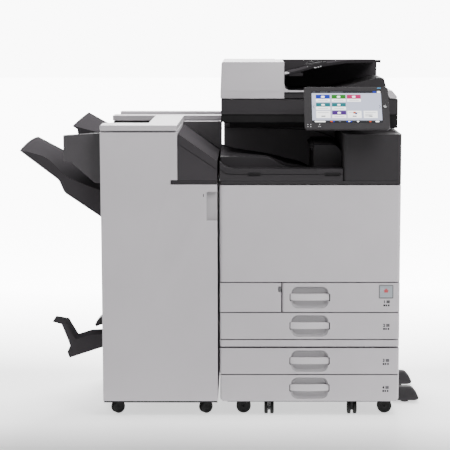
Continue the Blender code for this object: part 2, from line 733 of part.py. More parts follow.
def make_finisher_trays():
    side = FINISHER_X[0] - GAP
    proof = [(-482, 960), (-464, 940), (-464, 927), (side, 905), (side, 924), (-468, 971)]
    upper = prism("proof_tray", proof, "Y", 90.0, 530.0)
    finish(upper, DARK)

    shift = [(-656, 872), (-527, 776), (-511, 736), (side - 1, 648), (side - 1, 742)]
    shift += [(-461, 765), (-507, 785), (-526, 805), (-560, 835), (-648, 884)]
    lower = prism("shift_tray", shift, "Y", 80.0, 543.0)
    finish(lower, DARK)
    hang([lower], pivot("shift_tray", -384.0, 312.0, 742.0))

    booklet = [(side, 211), (-508, 170.6), (-515.4, 190.4), (-505.6, 211), (-510.4, 228)]
    booklet += [(-533, 285), (-563, 294), (-562, 298), (-518, 290), (-485, 235), (-441, 249.5)]
    booklet.append((side, 252))
    arm = prism("booklet_tray", booklet, "Y", 130.0, 225.0)
    finish(arm, DARK)

    flap = [(-387, 309), (-389, 312), (-397, 311), (-412, 297)]
    flap += [(-423, 282), (-418, 273.5), (-408, 279), (-387, 284)]
    guide = prism("booklet_flap", flap, "Y", 145.0, 215.0)
    finish(guide, DARK)
    hang([guide], pivot("booklet_flap", -389.0, 180.0, 308.0))


def main():
    base_frame = make_base_frame()
    finisher_base = make_finisher_base()
    make_casters(base_frame, finisher_base)
    finish(base_frame, DARKER)
    finish(finisher_base, DARKER)
    make_stabilisers()
    make_bank_cabinet()
    make_main_chassis()
    make_rear_cover()
    make_toner()
    make_front_door()
    make_waste_cover()
    make_right_door()
    make_drawers()
    make_inner_tray()
    make_tower()
    make_scanner()
    make_panel()
    make_feeder()
    make_finisher_cabinet()
    make_finisher_door()
    make_finisher_top()
    make_bridge()
    make_exit_frame()
    make_finisher_trays()


main()
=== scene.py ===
"""The looks of a colour photocopier with scanner, document feeder and booklet finisher.

Pieces are described in millimetres in the machine's own frame: X = 0 is the printer body's
left edge, Y = 0 the drawers' front face and Z = 0 the floor. at() turns them into metres.
"""

import json
import math

import bmesh
import bpy
from mathutils import Matrix, Vector


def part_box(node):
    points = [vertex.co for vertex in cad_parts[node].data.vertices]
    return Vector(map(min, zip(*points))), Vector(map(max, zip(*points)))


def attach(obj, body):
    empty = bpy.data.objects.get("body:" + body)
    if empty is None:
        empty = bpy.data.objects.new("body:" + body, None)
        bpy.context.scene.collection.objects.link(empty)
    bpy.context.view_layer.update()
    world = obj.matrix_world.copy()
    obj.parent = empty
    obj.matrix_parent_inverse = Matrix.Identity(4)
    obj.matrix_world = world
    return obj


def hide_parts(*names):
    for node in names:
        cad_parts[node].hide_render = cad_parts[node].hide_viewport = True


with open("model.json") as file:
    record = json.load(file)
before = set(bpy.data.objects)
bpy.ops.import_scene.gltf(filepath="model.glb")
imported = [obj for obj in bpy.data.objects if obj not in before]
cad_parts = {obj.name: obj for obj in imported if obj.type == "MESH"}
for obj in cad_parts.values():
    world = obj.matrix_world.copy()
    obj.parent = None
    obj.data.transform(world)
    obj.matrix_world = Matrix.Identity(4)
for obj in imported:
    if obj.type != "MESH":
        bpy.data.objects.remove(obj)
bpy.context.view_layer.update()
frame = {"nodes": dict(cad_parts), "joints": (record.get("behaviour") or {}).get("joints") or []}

MM = 0.001
DOOR_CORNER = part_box("front_door")[0]
LEFT = DOOR_CORNER.x - 0.3 * MM
FRONT = DOOR_CORNER.y

BODY_BACK = 548.0
DOOR_Z = (450.8, 766.8)
DRAWER_Z = ((351.6, 447.2), (261.9, 348.0), (144.9, 231.2), (53.8, 141.2))
RAIL_Z = (236.9, 258.2)
DRAWER_LEFT = (203.5, 0.3, 0.3, 0.3)
PULL_X = 293.5
SCOOP_HALF_X = 61.0
SCOOP_HALF_Z = 36.0
FRONT_RIGHT = 586.7
FEEDER_Y = (150.0, 552.0)
PANEL_LEAN = math.radians(41.4)
PANEL_HINGE = (-7.0, 992.0)
PANEL_FACE = -47.0
PANEL_MIDDLE = 992.0
SCREEN_X = (295.2, 517.2)
SCREEN_S = (-59.5, 68.5)
HOME_KEY = (528.0, 5.0)
FINISHER_X = (-384.0, -7.5)
BACKDROP = 9.0


def at(x, y, z):
    return Vector((LEFT + x * MM, FRONT + y * MM, z * MM))


# Shapes


def add_object(name, data):
    thing = bpy.data.objects.new(name, data)
    bpy.context.scene.collection.objects.link(thing)
    return thing


def piece_from(name, points, faces):
    mesh = bpy.data.meshes.new(name)
    mesh.from_pydata(points, [], faces)
    shape = bmesh.new()
    shape.from_mesh(mesh)
    bmesh.ops.recalc_face_normals(shape, faces=shape.faces)
    shape.to_mesh(mesh)
    shape.free()
    return add_object(name, mesh)


def ring_faces(count, rings):
    """The faces of a skin over rings of count points each, closed at both ends."""
    faces = [tuple(range(count)), tuple(range((rings - 1) * count, rings * count))]
    for low in range(0, (rings - 1) * count, count):
        for here in range(count):
            after = (here + 1) % count
            faces.append((low + here, low + after, low + count + after, low + count + here))
    return faces


def prism(name, outline, axis, low, high):
    """An outline pushed along an axis: (y, z) along X, (x, z) along Y, (x, y) along Z."""
    spots = {
        "X": lambda u, v, w: at(w, u, v),
        "Y": lambda u, v, w: at(u, w, v),
        "Z": lambda u, v, w: at(u, v, w),
    }[axis]
    points = [spots(u, v, low) for u, v in outline] + [spots(u, v, high) for u, v in outline]
    return piece_from(name, points, ring_faces(len(outline), 2))


def block(name, xs, ys, zs):
    return prism(name, [(xs[0], ys[0]), (xs[1], ys[0]), (xs[1], ys[1]), (xs[0], ys[1])], "Z", *zs)


def loft(name, rings):
    """A skin over rings of equally many (x, y, z) points, closed by a face at each end."""
    points = [at(*point) for ring in rings for point in ring]
    return piece_from(name, points, ring_faces(len(rings[0]), len(rings)))


def turned(name, profile, centre, axis, steps=40):
    """A profile of (radius, distance along the axis) in millimetres, turned about a world axis."""
    axis = Vector(axis).normalized()
    across = axis.orthogonal().normalized()
    third = axis.cross(across)
    points = []
    for radius, along in profile:
        for step in range(steps):
            angle = 2 * math.pi * step / steps
            reach = across * math.cos(angle) + third * math.sin(angle)
            points.append(Vector(centre) + axis * along * MM + reach * radius * MM)
    return piece_from(name, points, ring_faces(steps, len(profile)))


def rod(radius, low, high, centre, axis, steps=40):
    profile = [(0.1, low), (radius, low), (radius, high), (0.1, high)]
    return turned("t", profile, centre, axis, steps)


def arc(x, y, radius, start, end, steps=8):
    angles = [math.radians(start + (end - start) * step / steps) for step in range(steps + 1)]
    return [(x + radius * math.cos(a), y + radius * math.sin(a)) for a in angles]


def about(middle, half):
    return middle - half, middle + half


def within(span, edge):
    return span[0] + edge, span[1] - edge


def rounded(xs, zs, radius, steps=8):
    left, right = xs[0] + radius, xs[1] - radius
    bottom, top = zs[0] + radius, zs[1] - radius
    outline = []
    for x, z, start in ((right, top, 0), (left, top, 90), (left, bottom, 180), (right, bottom, 270)):
        outline += arc(x, z, radius, start, start + 90, steps)
    return outline


def front_plan(xs, ys, radius):
    """Plan of a panel whose two front corners are rounded."""
    outline = [(xs[1], ys[1]), (xs[0], ys[1])]
    outline += arc(xs[0] + radius, ys[0] + radius, radius, 180, 270)
    outline += arc(xs[1] - radius, ys[0] + radius, radius, 270, 360)
    return outline


def curve_through(knots, steps=8):
    """A smooth line of points through (a, b) knots."""
    ends = [knots[0]] + list(knots) + [knots[-1]]
    line = []
    for index in range(1, len(ends) - 2):
        p, q, r, s = ends[index - 1:index + 3]
        for step in range(steps):
            t = step / steps
            line.append(tuple(
                0.5 * (2 * b + (c - a) * t + (2 * a - 5 * b + 4 * c - d) * t * t
                       + (3 * b - a - 3 * c + d) * t ** 3)
                for a, b, c, d in zip(p, q, r, s)))
    line.append(tuple(knots[-1]))
    return line


def height_on(line, x):
    """Height of a line of (x, z) points at x, held level past its ends."""
    line = sorted(line)
    if x <= line[0][0]:
        return line[0][1]
    for (x0, z0), (x1, z1) in zip(line, line[1:]):
        if x <= x1:
            return z0 + (z1 - z0) * (x - x0) / max(x1 - x0, 1e-9)
    return line[-1][1]


def bake(piece):
    graph = bpy.context.evaluated_depsgraph_get()
    mesh = bpy.data.meshes.new_from_object(piece.evaluated_get(graph))
    piece.modifiers.clear()
    piece.data = mesh
    return piece


def combine(piece, tools, operation):
    for tool in tools:
        change = piece.modifiers.new("combine", "BOOLEAN")
        change.operation = operation
        change.object = tool
        bake(piece)
        bpy.data.objects.remove(tool)
    return piece


def carve(piece, *tools):
    return combine(piece, tools, "DIFFERENCE")


def join(piece, *tools):
    return combine(piece, tools, "UNION")


def soften(piece, width=1.2, segments=3, angle=32.0):
    """Rounded edges with flat faces that stay flat."""
    change = piece.modifiers.new("edges", "BEVEL")
    change.width = width * MM
    change.segments = segments
    change.limit_method = "ANGLE"
    change.angle_limit = math.radians(angle)
    change.miter_outer = "MITER_ARC"
    return smooth(bake(piece))


def smooth(piece, angle=38.0):
    piece.data.shade_smooth()
    piece.data.set_sharp_from_angle(angle=math.radians(angle))
    weighted = piece.modifiers.new("normals", "WEIGHTED_NORMAL")
    weighted.keep_sharp = True
    return bake(piece)


def lean(piece):
    """Turns a piece that was built upright about the panel's hinge."""
    hinge = at(0.0, *PANEL_HINGE)
    turn = Matrix.Rotation(-PANEL_LEAN, 4, "X")
    piece.data.transform(Matrix.Translation(hinge) @ turn @ Matrix.Translation(-hinge))
    return piece


def place(piece, material, body="frame", *nodes, slot=None):
    """Gives a piece its material, the body it rides on and the CAD nodes it replaces; its slot is not
    used.
    """
    piece.data.materials.clear()
    piece.data.materials.append(material)
    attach(piece, body)
    if nodes:
        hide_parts(*nodes)
    return piece


def slab(name, xs, ys, zs, width, material, body="frame", *nodes):
    """A block with edges softened by width, in its place."""
    place(soften(block(name, xs, ys, zs), width), material, body, *nodes)


def plate(name, outline, axis, low, high, width, material, body="frame", *nodes):
    """A prism with edges softened by width, in its place."""
    place(soften(prism(name, outline, axis, low, high), width), material, body, *nodes)


def merge(piece, others):
    """Adds the meshes of others to a piece as separate shells."""
    shape = bmesh.new()
    shape.from_mesh(piece.data)
    for other in others:
        shape.from_mesh(other.data)
        bpy.data.objects.remove(other)
    shape.to_mesh(piece.data)
    shape.free()
    return piece


def group(name, pieces):
    """Merges a list of pieces into one named piece."""
    pieces[0].name = name
    return merge(pieces[0], pieces[1:])


def tint(piece, material, chosen):
    """Gives another material to the faces whose centre in millimetres is chosen."""
    piece.data.materials.append(material)
    for face in piece.data.polygons:
        if chosen((face.center - at(0, 0, 0)) / MM):
            face.material_index = len(piece.data.materials) - 1


# Materials


def material_nodes(name):
    """A new material with its nodes, links, main shader and object coordinates."""
    material = bpy.data.materials.new(name)
    material.use_nodes = True
    tree = material.node_tree
    spot = tree.nodes.new("ShaderNodeTexCoord").outputs["Object"]
    return material, tree.nodes, tree.links, tree.nodes["Principled BSDF"], spot


def set_inputs(node, values):
    for name, value in values.items():
        node.inputs[name].default_value = value


def noise(nodes, links, place_from, scale, detail):
    texture = nodes.new("ShaderNodeTexNoise")
    set_inputs(texture, {"Scale": scale, "Detail": detail})
    links.new(place_from, texture.inputs["Vector"])
    return texture.outputs["Fac"]


def spread(nodes, links, value, low, high, from_low=0.3, from_high=0.7):
    change = nodes.new("ShaderNodeMapRange")
    set_inputs(change, {"From Min": from_low, "From Max": from_high, "To Min": low, "To Max": high})
    links.new(value, change.inputs["Value"])
    return change.outputs["Result"]


def blend_colours(nodes, links, factor, first, second):
    mix = nodes.new("ShaderNodeMix")
    mix.data_type = "RGBA"
    links.new(factor, mix.inputs[0])
    for socket, colour in ((mix.inputs[6], first), (mix.inputs[7], second)):
        if isinstance(colour, tuple):
            socket.default_value = (*colour, 1.0)
        else:
            links.new(colour, socket)
    return mix.outputs[2]


def vary(nodes, links, value, first, second, socket):
    """Drives a socket from one colour to another by a noise value."""
    factor = spread(nodes, links, value, 0.0, 1.0)
    links.new(blend_colours(nodes, links, factor, first, second), socket)


def shade(colour, factor):
    return tuple(channel * factor for channel in colour)


def moulded(name, colour, roughness=0.45, grain=0.12, mottle=0.03, worn=0.10, scale=1100.0, gloss=0.5):
    """Moulded plastic or paint: spark-eroded grain, faint clouding and lighter, rubbed edges."""
    material, nodes, links, shader, spot = material_nodes(name)
    shader.inputs["Specular IOR Level"].default_value = gloss
    clouds = noise(nodes, links, spot, 6.0, 3.0)
    fine = noise(nodes, links, spot, scale, 2.0)
    factor = spread(nodes, links, clouds, 0.0, 1.0)
    body = blend_colours(nodes, links, factor, shade(colour, 1 - mottle), shade(colour, 1 + mottle))
    edge = spread(nodes, links, nodes.new("ShaderNodeNewGeometry").outputs["Pointiness"],
                  0.0, worn, 0.53, 0.62)
    rubbed = blend_colours(nodes, links, edge, body, shade(colour, 1.35))
    links.new(rubbed, shader.inputs["Base Color"])
    smudges = noise(nodes, links, spot, 28.0, 4.0)
    dullness = spread(nodes, links, smudges, roughness - 0.05, roughness + 0.06)
    links.new(dullness, shader.inputs["Roughness"])
    bump = nodes.new("ShaderNodeBump")
    set_inputs(bump, {"Strength": grain, "Distance": 0.0003})
    links.new(fine, bump.inputs["Height"])
    links.new(bump.outputs["Normal"], shader.inputs["Normal"])
    return material


def metal(name, colour, roughness=0.3):
    """Brushed metal: fine streaks in tone and roughness."""
    material, nodes, links, shader, spot = material_nodes(name)
    shader.inputs["Metallic"].default_value = 1.0
    stretch = nodes.new("ShaderNodeMapping")
    stretch.inputs["Scale"].default_value = (1.0, 40.0, 40.0)
    links.new(spot, stretch.inputs["Vector"])
    streaks = noise(nodes, links, stretch.outputs["Vector"], 30.0, 3.0)
    vary(nodes, links, streaks, shade(colour, 0.9), shade(colour, 1.08), shader.inputs["Base Color"])
    dullness = spread(nodes, links, streaks, roughness - 0.06, roughness + 0.1)
    links.new(dullness, shader.inputs["Roughness"])
    return material


def glassy(name, colour, alpha=1.0):
    """Smooth glass with faint smears."""
    material, nodes, links, shader, spot = material_nodes(name)
    shader.inputs["Alpha"].default_value = alpha
    smears = noise(nodes, links, spot, 18.0, 5.0)
    vary(nodes, links, smears, colour, shade(colour, 1.1), shader.inputs["Base Color"])
    links.new(spread(nodes, links, smears, 0.04, 0.12), shader.inputs["Roughness"])
    return material


def lit(name, colour, strength=0.9):
    """A lit patch of the display, with the fine dot pattern of its pixels."""
    material, nodes, links, shader, spot = material_nodes(name)
    cells = nodes.new("ShaderNodeTexVoronoi")
    cells.inputs["Scale"].default_value = 900.0
    links.new(spot, cells.inputs["Vector"])
    factor = spread(nodes, links, cells.outputs["Distance"], 0.0, 1.0, 0.0, 0.8)
    tone = blend_colours(nodes, links, factor, colour, shade(colour, 0.94))
    links.new(tone, shader.inputs["Emission Color"])
    set_inputs(shader, {"Emission Strength": strength, "Roughness": 0.2,
                        "Base Color": (0.01, 0.01, 0.012, 1.0)})
    return material


def stacked_paper(name):
    """The edges of a pile of sheets: fine level lines."""
    material, nodes, links, shader, spot = material_nodes(name)
    flat = nodes.new("ShaderNodeMapping")
    flat.inputs["Scale"].default_value = (1.0, 1.0, 900.0)
    links.new(spot, flat.inputs["Vector"])
    sheets = noise(nodes, links, flat.outputs["Vector"], 3.0, 1.0)
    pale, bright = (0.70, 0.70, 0.69), (0.86, 0.86, 0.85)
    vary(nodes, links, sheets, pale, bright, shader.inputs["Base Color"])
    shader.inputs["Roughness"].default_value = 0.8
    return material


LIGHT = moulded("light_plastic", (0.462, 0.440, 0.462), 0.46)
# Painted shade: darker copies of the light plastic for the inside of recesses, the deeper one for upper
# halves.
RECESS_SHADE_DEEP = moulded("recess_painted_shade_deep", (0.290, 0.280, 0.292), 0.50)
GRIP = moulded("grip_plastic", (0.53, 0.508, 0.53), 0.42)
RECESS_SHADE_SOFT = moulded("recess_painted_shade_soft", (0.360, 0.347, 0.362), 0.50)
DARK = moulded("dark_plastic", (0.026, 0.024, 0.026), 0.58, worn=0.5, gloss=0.16)
SIDE_DARK = moulded("side_dark_plastic", (0.060, 0.056, 0.060), 0.55, worn=0.4, gloss=0.22)
DEEP = moulded("deep_plastic", (0.010, 0.0095, 0.010), 0.60, worn=0.3, gloss=0.15)
MATTE = moulded("matte_plastic", (0.042, 0.039, 0.042), 0.75, worn=0.3, gloss=0.0)
TRAY = moulded("tray_plastic", (0.024, 0.022, 0.024), 0.75, worn=0.3, gloss=0.0)
LINING = moulded("lining_plastic", (0.180, 0.170, 0.180), 0.70, worn=0.3, gloss=0.0)
INNER = moulded("inner_plastic", (0.14, 0.14, 0.145), 0.5)
TREAD = moulded("tread_rubber", (0.010, 0.010, 0.010), 0.68, grain=0.3, scale=500.0, gloss=0.25)
NYLON = moulded("caster_nylon", (0.020, 0.020, 0.021), 0.42, gloss=0.3)
PAINT = moulded("frame_paint", (0.030, 0.030, 0.032), 0.5, gloss=0.3)
STEEL = metal("brushed_steel", (0.62, 0.62, 0.63))
BACKING = moulded("white_backing", (0.75, 0.75, 0.74), 0.6)
PAPER = stacked_paper("paper_stack")
GLASS = glassy("plate_glass", (0.55, 0.62, 0.62), 0.35)
SCREEN = glassy("display_cover", (0.006, 0.006, 0.008))
INK = moulded("printed_dark", (0.012, 0.012, 0.014), 0.6, gloss=0.1)
PALE_INK = moulded("printed_pale", (0.45, 0.45, 0.46), 0.5)
WINDOW = moulded("window_card", (0.30, 0.33, 0.36), 0.3)
MARK_RED = moulded("mark_red", (0.42, 0.06, 0.07), 0.4)
TONERS = [
    moulded("toner_" + tone, colour, 0.36)
    for tone, colour in (
        ("yellow", (0.80, 0.62, 0.04)), ("magenta", (0.55, 0.03, 0.22)),
        ("cyan", (0.02, 0.28, 0.52)), ("black", (0.02, 0.02, 0.02)))
]


# Printer body


def make_body_shells():
    cabinet = block("bank_shell", (1, 586), (23, BODY_BACK), (56, 259))
    carve(cabinet, block("t", (8, 579), (0, 541), (58, 235.4)))
    join(cabinet, prism("t", front_plan((0.5, 586.5), (0, 24), 8), "Z", *RAIL_Z))
    place(soften(cabinet), LIGHT, "frame", "bank_cabinet")

    chassis = block("body_shell", (1, 586), (23, BODY_BACK), (259.4, 768.6))
    carve(chassis,
          block("t", (8, 579), (0, 541), (262.6, 445.6)),
          block("t", (8, 579), (0, 330), (450.6, 762)),
          block("t", (572, 600), (60, 520), (300, 750)))
    join(chassis, block("t", (8, 586), (482, BODY_BACK), (767.6, 939)))
    place(soften(chassis), LIGHT, "frame", "main_chassis")


def make_gap_seals():
    """Dark strips behind the gaps between the front panels."""
    tops = [zs[1] for zs in DRAWER_Z[:2]] + [RAIL_Z[0], DRAWER_Z[3][1]]
    for index, top in enumerate(tops, 1):
        slab("gap_seal_%d" % index, (3, 584), (20.8, 22.6), (top - 1.5, top + 6), 0.4, DEEP)


def drawer_number(number, x, z):
    """A generic tray numeral with a small pile-of-sheets mark beside it."""
    curve = bpy.data.curves.new("numeral", "FONT")
    curve.body = str(number)
    curve.size = 13 * MM
    curve.offset = 0.6 * MM
    curve.extrude = 0.15 * MM
    sign = add_object("numeral", curve)
    sign.rotation_euler = (math.pi / 2, 0.0, 0.0)
    sign.location = at(x, -0.1, z)
    bpy.context.view_layer.update()
    graph = bpy.context.evaluated_depsgraph_get()
    mesh = bpy.data.meshes.new_from_object(sign.evaluated_get(graph))
    mesh.transform(sign.matrix_world)
    bpy.data.objects.remove(sign)
    piece = add_object("drawer_%d_number" % number, mesh)
    print_y = (-0.25, 0.05)
    sheets = [block("t", (x + 10, x + 21), print_y, (z + 3.2 * k, z + 3.2 * k + 2.4)) for k in range(3)]
    for low, high in ((0, 6), (7.5, 12), (15, 20)):
        sheets.append(block("t", (x + low, x + high), print_y, (z - 10.5, z - 4.5)))
    merge(piece, sheets)
    return piece


def pull_recess(middle):
    """A scoop whose rim is wider than its floor."""
    rings = []
    profile = ((-4, -1.5, 23), (0, 0, 22), (8, 2.5, 21), (15, 7, 18))
    for depth, inset, radius in profile:
        half_x, half_z = SCOOP_HALF_X - inset, SCOOP_HALF_Z - inset
        outline = rounded(about(PULL_X, half_x), about(middle, half_z), radius)
        rings.append([(x, depth, z) for x, z in outline])
    return loft("t", rings)


def pull_bar(name, middle):
    """A grip that bows forward between its ends."""
    rings = []
    for step in range(17):
        across = -1.0 + step / 8.0
        front = 0.6 + 4.5 * across * across
        section = rounded((front, front + 8), (middle - 11, middle + 12), 3.4, 4)
        rings.append([(PULL_X + 63.4 * across, y, z) for y, z in section])
    bar = loft(name, rings)
    join(bar, block("t", about(PULL_X, 55), (5, 16), (middle - 7, middle + 8)))
    return soften(bar, 0.7, 2, 50.0)


def make_drawers():
    def in_scoop(spot):
        return abs(spot.x - PULL_X) < SCOOP_HALF_X and 1.2 < spot.y < 16

    for index, (zs, left) in enumerate(zip(DRAWER_Z, DRAWER_LEFT)):
        number = index + 1
        name, middle = "drawer_%d" % number, (zs[0] + zs[1]) / 2
        front = prism(name + "_panel", front_plan((left, FRONT_RIGHT), (0, 20), 8), "Z", *zs)
        if number == 4:
            low = zs[0] - 1
            for side, way in ((left, -1), (FRONT_RIGHT, 1)):
                corner = [(side + way, low), (side - 9 * way, low), (side + way, low + 10)]
                carve(front, prism("t", corner, "Y", -5, 30))
        ends = rounded(about(PULL_X, 66), (middle - 12.5, middle + 13.5), 4)
        carve(front, pull_recess(middle), prism("t", ends, "Y", -5, 10))
        place(soften(front, 1.0), LIGHT, name, name + "_front")
        # Painted shade: the upper half of the pull scoop in the deeper recess shade, the lower half in
        # the softer one.
        tint(front, RECESS_SHADE_DEEP, lambda spot: in_scoop(spot) and spot.z > middle)
        tint(front, RECESS_SHADE_SOFT, lambda spot: in_scoop(spot) and spot.z <= middle)
        # Painted shade: the slot walls at the ends of the grip bar in dark plastic.
        tint(front, DARK, lambda spot: SCOOP_HALF_X < abs(spot.x - PULL_X) < 66.5 and 1.2 < spot.y < 16)
        place(pull_bar(name + "_grip", middle), GRIP, name)
        place(drawer_number(number, 533.0, middle - 2 if number > 1 else 381.0), INK, name)
        make_drawer_inside(name, max(left + 7.0, 14.0), (zs[0] + 4.5, zs[1] - 10.0), number)


def make_drawer_inside(name, left, zs, number):
    """Paper with its side fences and end stop, in the drawer's box."""
    floor = zs[0] + 4.2
    width = 297.0 if number < 3 else 420.0
    right = 558.0
    depth = (190.0, 400.0) if number < 3 else (120.0, 417.0)
    slab(name + "_paper", (right - width, right), depth, (floor, zs[1] - 22), 0.5, PAPER, name)
    fences = []
    for edge, sign in ((depth[0], -1), (depth[1], 1)):
        ys = sorted((edge + 1.5 * sign, edge + 5.0 * sign))
        for x in (right - width * 0.75, right - width * 0.25):
            fences.append(block("t", about(x, 30), ys, (floor, zs[1] - 4)))
    end = right - width
    stop = block(name + "_guides", (end - 6, end - 2), (240, 300), (floor, zs[1] - 4))
    merge(stop, fences)
    place(soften(stop, 0.8), DARK, name)


def make_front_doors():
    door = prism("front_door_shell", front_plan((0.3, FRONT_RIGHT), (0, 20), 12), "Z", *DOOR_Z)
    carve(door, block("t", (8, 579), (5, 40), within(DOOR_Z, 8)))
    place(soften(door, 1.4), LIGHT, "front_door", "front_door")
    ribs = [block("t", (x, x + 2.5), (4.8, 16), within(DOOR_Z, 7)) for x in (150, 292, 434)]
    rib = block("front_door_ribs", (7, 580), (4.8, 16), (600, 602.5))
    place(soften(merge(rib, ribs), 0.4), LIGHT, "front_door")

    cover = prism("waste_cover_shell", front_plan((0.3, 200.5), (0, 20), 6), "Z", *DRAWER_Z[0])
    notch = rounded((189.5, 214), (416, 436), 5)
    carve(cover, prism("t", notch, "Y", -5, 10), block("t", (8, 184), (5, 40), (359.6, 439.2)))
    place(soften(cover, 1.0), LIGHT, "waste_toner_cover", "waste_toner_cover")
    slab("waste_cover_latch", (191, 200), (6.5, 9.9), (418, 434), 1, INNER, "waste_toner_cover")


def cap(x, y, z, radius, depth):
    """A round cap with a raised grip across it, facing the front."""
    profile = [(0.1, -depth), (radius - 3, -depth), (radius, -depth + 3), (radius, 0), (0.1, 0)]
    disc = turned("t", profile, at(x, y, z), (0, 1, 0), 32)
    face = y - depth
    grip = block("t", about(x, radius * 0.8), (face - 5, face + 1), about(z, 3.5))
    return join(disc, grip)


def make_inside_front():
    """What stands behind the front doors: inner plates, unit caps, knobs and a stapler drawer."""
    wall = block("inner_plate", (9, 578), (304, 329), (452, 761))
    carve(wall, block("t", (50, 450), (300, 312), (530, 596)))
    place(soften(wall, 2.0), INNER)
    caps = [cap(x, 311.8, 563, 24, 22) for x in (110, 200, 290, 380)]
    place(smooth(group("imaging_unit_caps", caps)), DARK)
    belt = prism("transfer_unit_front", rounded((60, 440), (604, 640), 9), "Y", 292, 304)
    join(belt, prism("t", rounded((230, 270), (612, 632), 6), "Y", 282, 293))
    place(soften(belt, 2.0), DEEP)
    lever = cap(512, 303.8, 600, 30, 14)
    lever.name = "release_lever"
    place(smooth(lever), GRIP)

    wall = block("finisher_plate", (-375, -17), (220, 232), (64, 757))
    carve(wall, block("t", (-330, -120), (215, 226), (560, 640)))
    place(soften(wall, 2.0), INNER)
    knobs = [cap(x, 219.8, z, 17, 20) for x, z in ((-80, 600), (-80, 420), (-250, 330), (-120, 250))]
    place(smooth(group("finisher_knobs", knobs)), DARK)
    stapler = block("stapler_drawer", (-340, -150), (196, 219.8), (420, 500))
    carve(stapler, block("t", (-300, -190), (190, 204), (430, 450)))
    place(soften(stapler, 3.0), DEEP)
    slab("sheet_guide", (-345, -105), (206, 219.8), (660, 720), 3, DARK)


def make_size_window():
    """The small framed window of tray 1 with a generic paper mark."""
    xs, zs = (518.0, 565.0), (396.5, 441.0)
    rim = prism("size_window_frame", rounded(xs, zs, 3), "Y", -0.9, 0.05)
    carve(rim, prism("t", rounded(within(xs, 3), within(zs, 3), 2), "Y", -5, 5))
    place(soften(rim, 0.3, 2), INNER, "drawer_1")
    card = prism("size_window_card", rounded(within(xs, 3.3), within(zs, 3.3), 1.6), "Y", -0.5, 0.05)
    place(soften(card, 0.2, 2), WINDOW, "drawer_1")
    middle = (xs[0] + xs[1]) / 2
    roof = [(middle - 9, 421), (middle, 430), (middle + 9, 421)]
    sheet = prism("size_window_mark", roof, "Y", -0.9, -0.45)
    merge(sheet, [block("t", about(middle, 6), (-0.9, -0.45), (416, 421.5))])
    place(soften(sheet, 0.15, 2), MARK_RED, "drawer_1")


# Output tray, tower and scanner


def make_output_tray():
    plate("front_strip", front_plan((0.5, 586.5), (0, 481), 10), "Z", 769.4, 780.6,
          1.0, DARK, "frame", "inner_tray")

    lip_top = curve_through([(0.5, 842), (8, 834), (20, 825.5), (34, 821.5), (48, 820)])
    lip = prism("tray_lip", [(0.5, 781), (398, 781), (398, 820)] + lip_top[::-1], "Y", 0.6, 60)
    groove_line = curve_through([(-2, 821), (8, 813), (20, 806), (34, 802.6), (48, 802)])
    groove = [(400, 800.8), (400, 803.2)] + [(x, z + 1.2) for x, z in groove_line[::-1]]
    groove += [(x, z - 1.2) for x, z in groove_line]
    carve(lip, prism("t", groove, "Y", -5, 3.2))
    for xs in ((90, 133), (338, 390)):
        carve(lip, prism("t", rounded(xs, (796, 808), 3), "Y", -5, 5))
    carve(lip, prism("t", [(312, 800), (313.5, 800), (313.5, 830), (312, 830)], "Y", -5, 2.5))
    place(soften(lip, 1.6), DARK)
    catch = block("tray_catch", (94, 129), (3.2, 6), (798, 803))
    merge(catch, [block("t", (342, 386), (3.2, 6), (798, 803))])
    place(soften(catch, 0.8), DEEP)

    plateau = curve_through(
        [(2, 854), (80, 854), (140, 853.5), (164, 849), (195, 830), (214, 821), (240, 815)])
    ridge = plateau + [(306, 812), (306, 781), (2, 781)]
    plate("tray_ridge", ridge, "Y", 60.4, 100, 2.5, DARK)

    slope = curve_through(
        [(1, 863), (29, 852), (95, 841), (165, 829), (225, 814), (273, 802), (319, 779)])
    bed_front, bed_back = 100.4, 481.0
    rings = []
    for step in range(24):
        y = bed_front + (bed_back - bed_front) * step / 23
        blend = min(1.0, (y - bed_front) / 300.0)
        blend = blend * blend * (3 - 2 * blend)
        ring = []
        for column in range(33):
            x = 1.0 + 304.0 * column / 32
            z = height_on(plateau, x) * (1 - blend) + height_on(slope, x) * blend
            ring.append((x, y, max(z - 0.6, 781.5)))
        rings.append(ring + [(305, y, 781), (1, y, 781)])
    place(smooth(loft("tray_bed", rings)), MATTE)

    outline = [(306.5, 781), (306.5, 886)] + arc(311.5, 886, 5, 180, 90, 4) + [(365, 891)]
    outline += curve_through([(365, 891), (377, 888.5), (388, 881), (398, 868)])[1:] + [(398, 781)]
    plate("exit_unit", outline, "Y", 80, 440, 3, DARK)
    plate("exit_flap", [(296, 880), (306, 888), (306, 868)], "Y", 110, 420, 1, DARK)


def make_back_wall():
    """The dark lining behind the output tray, in two panels under a ledge."""
    seams = (8.5, 313.0, 398.6)
    for index, (left, right) in enumerate(zip(seams, seams[1:])):
        slab("lining_%d" % index, (left, right - 0.8), (478.5, 481.6), (782, 938.6), 0.8, LINING)
    for index, z in enumerate((800, 826, 852)):
        slab("lining_rib_%d" % index, (316, 396), (475.5, 478.3), (z, z + 3), 0.8, LINING)
    edge = curve_through(
        [(9, 924), (120, 922), (240, 918.5), (300, 915), (345, 906), (380, 893), (396, 884)])
    ledge = edge + [(x, z - 3.2) for x, z in edge[::-1]]
    plate("lining_ledge", ledge, "Y", 458, 478.2, 1, SIDE_DARK)
    hood = edge + [(396, 938.4), (9, 938.4)]
    plate("lining_hood", hood, "Y", 464, 478.2, 0.6, LINING)


def make_tower():
    plan = [(586.6, 481.6), (399, 481.6)] + arc(411, 12, 12, 180, 270) + arc(574.6, 12, 12, 270, 360)
    tower = prism("tower_shell", plan, "Z", 781.4, 931)
    carve(tower, block("t", (403, 582.6), (5, 477), (760, 927)))
    place(soften(tower, 1.6), DARK, "frame", "right_tower_cover")


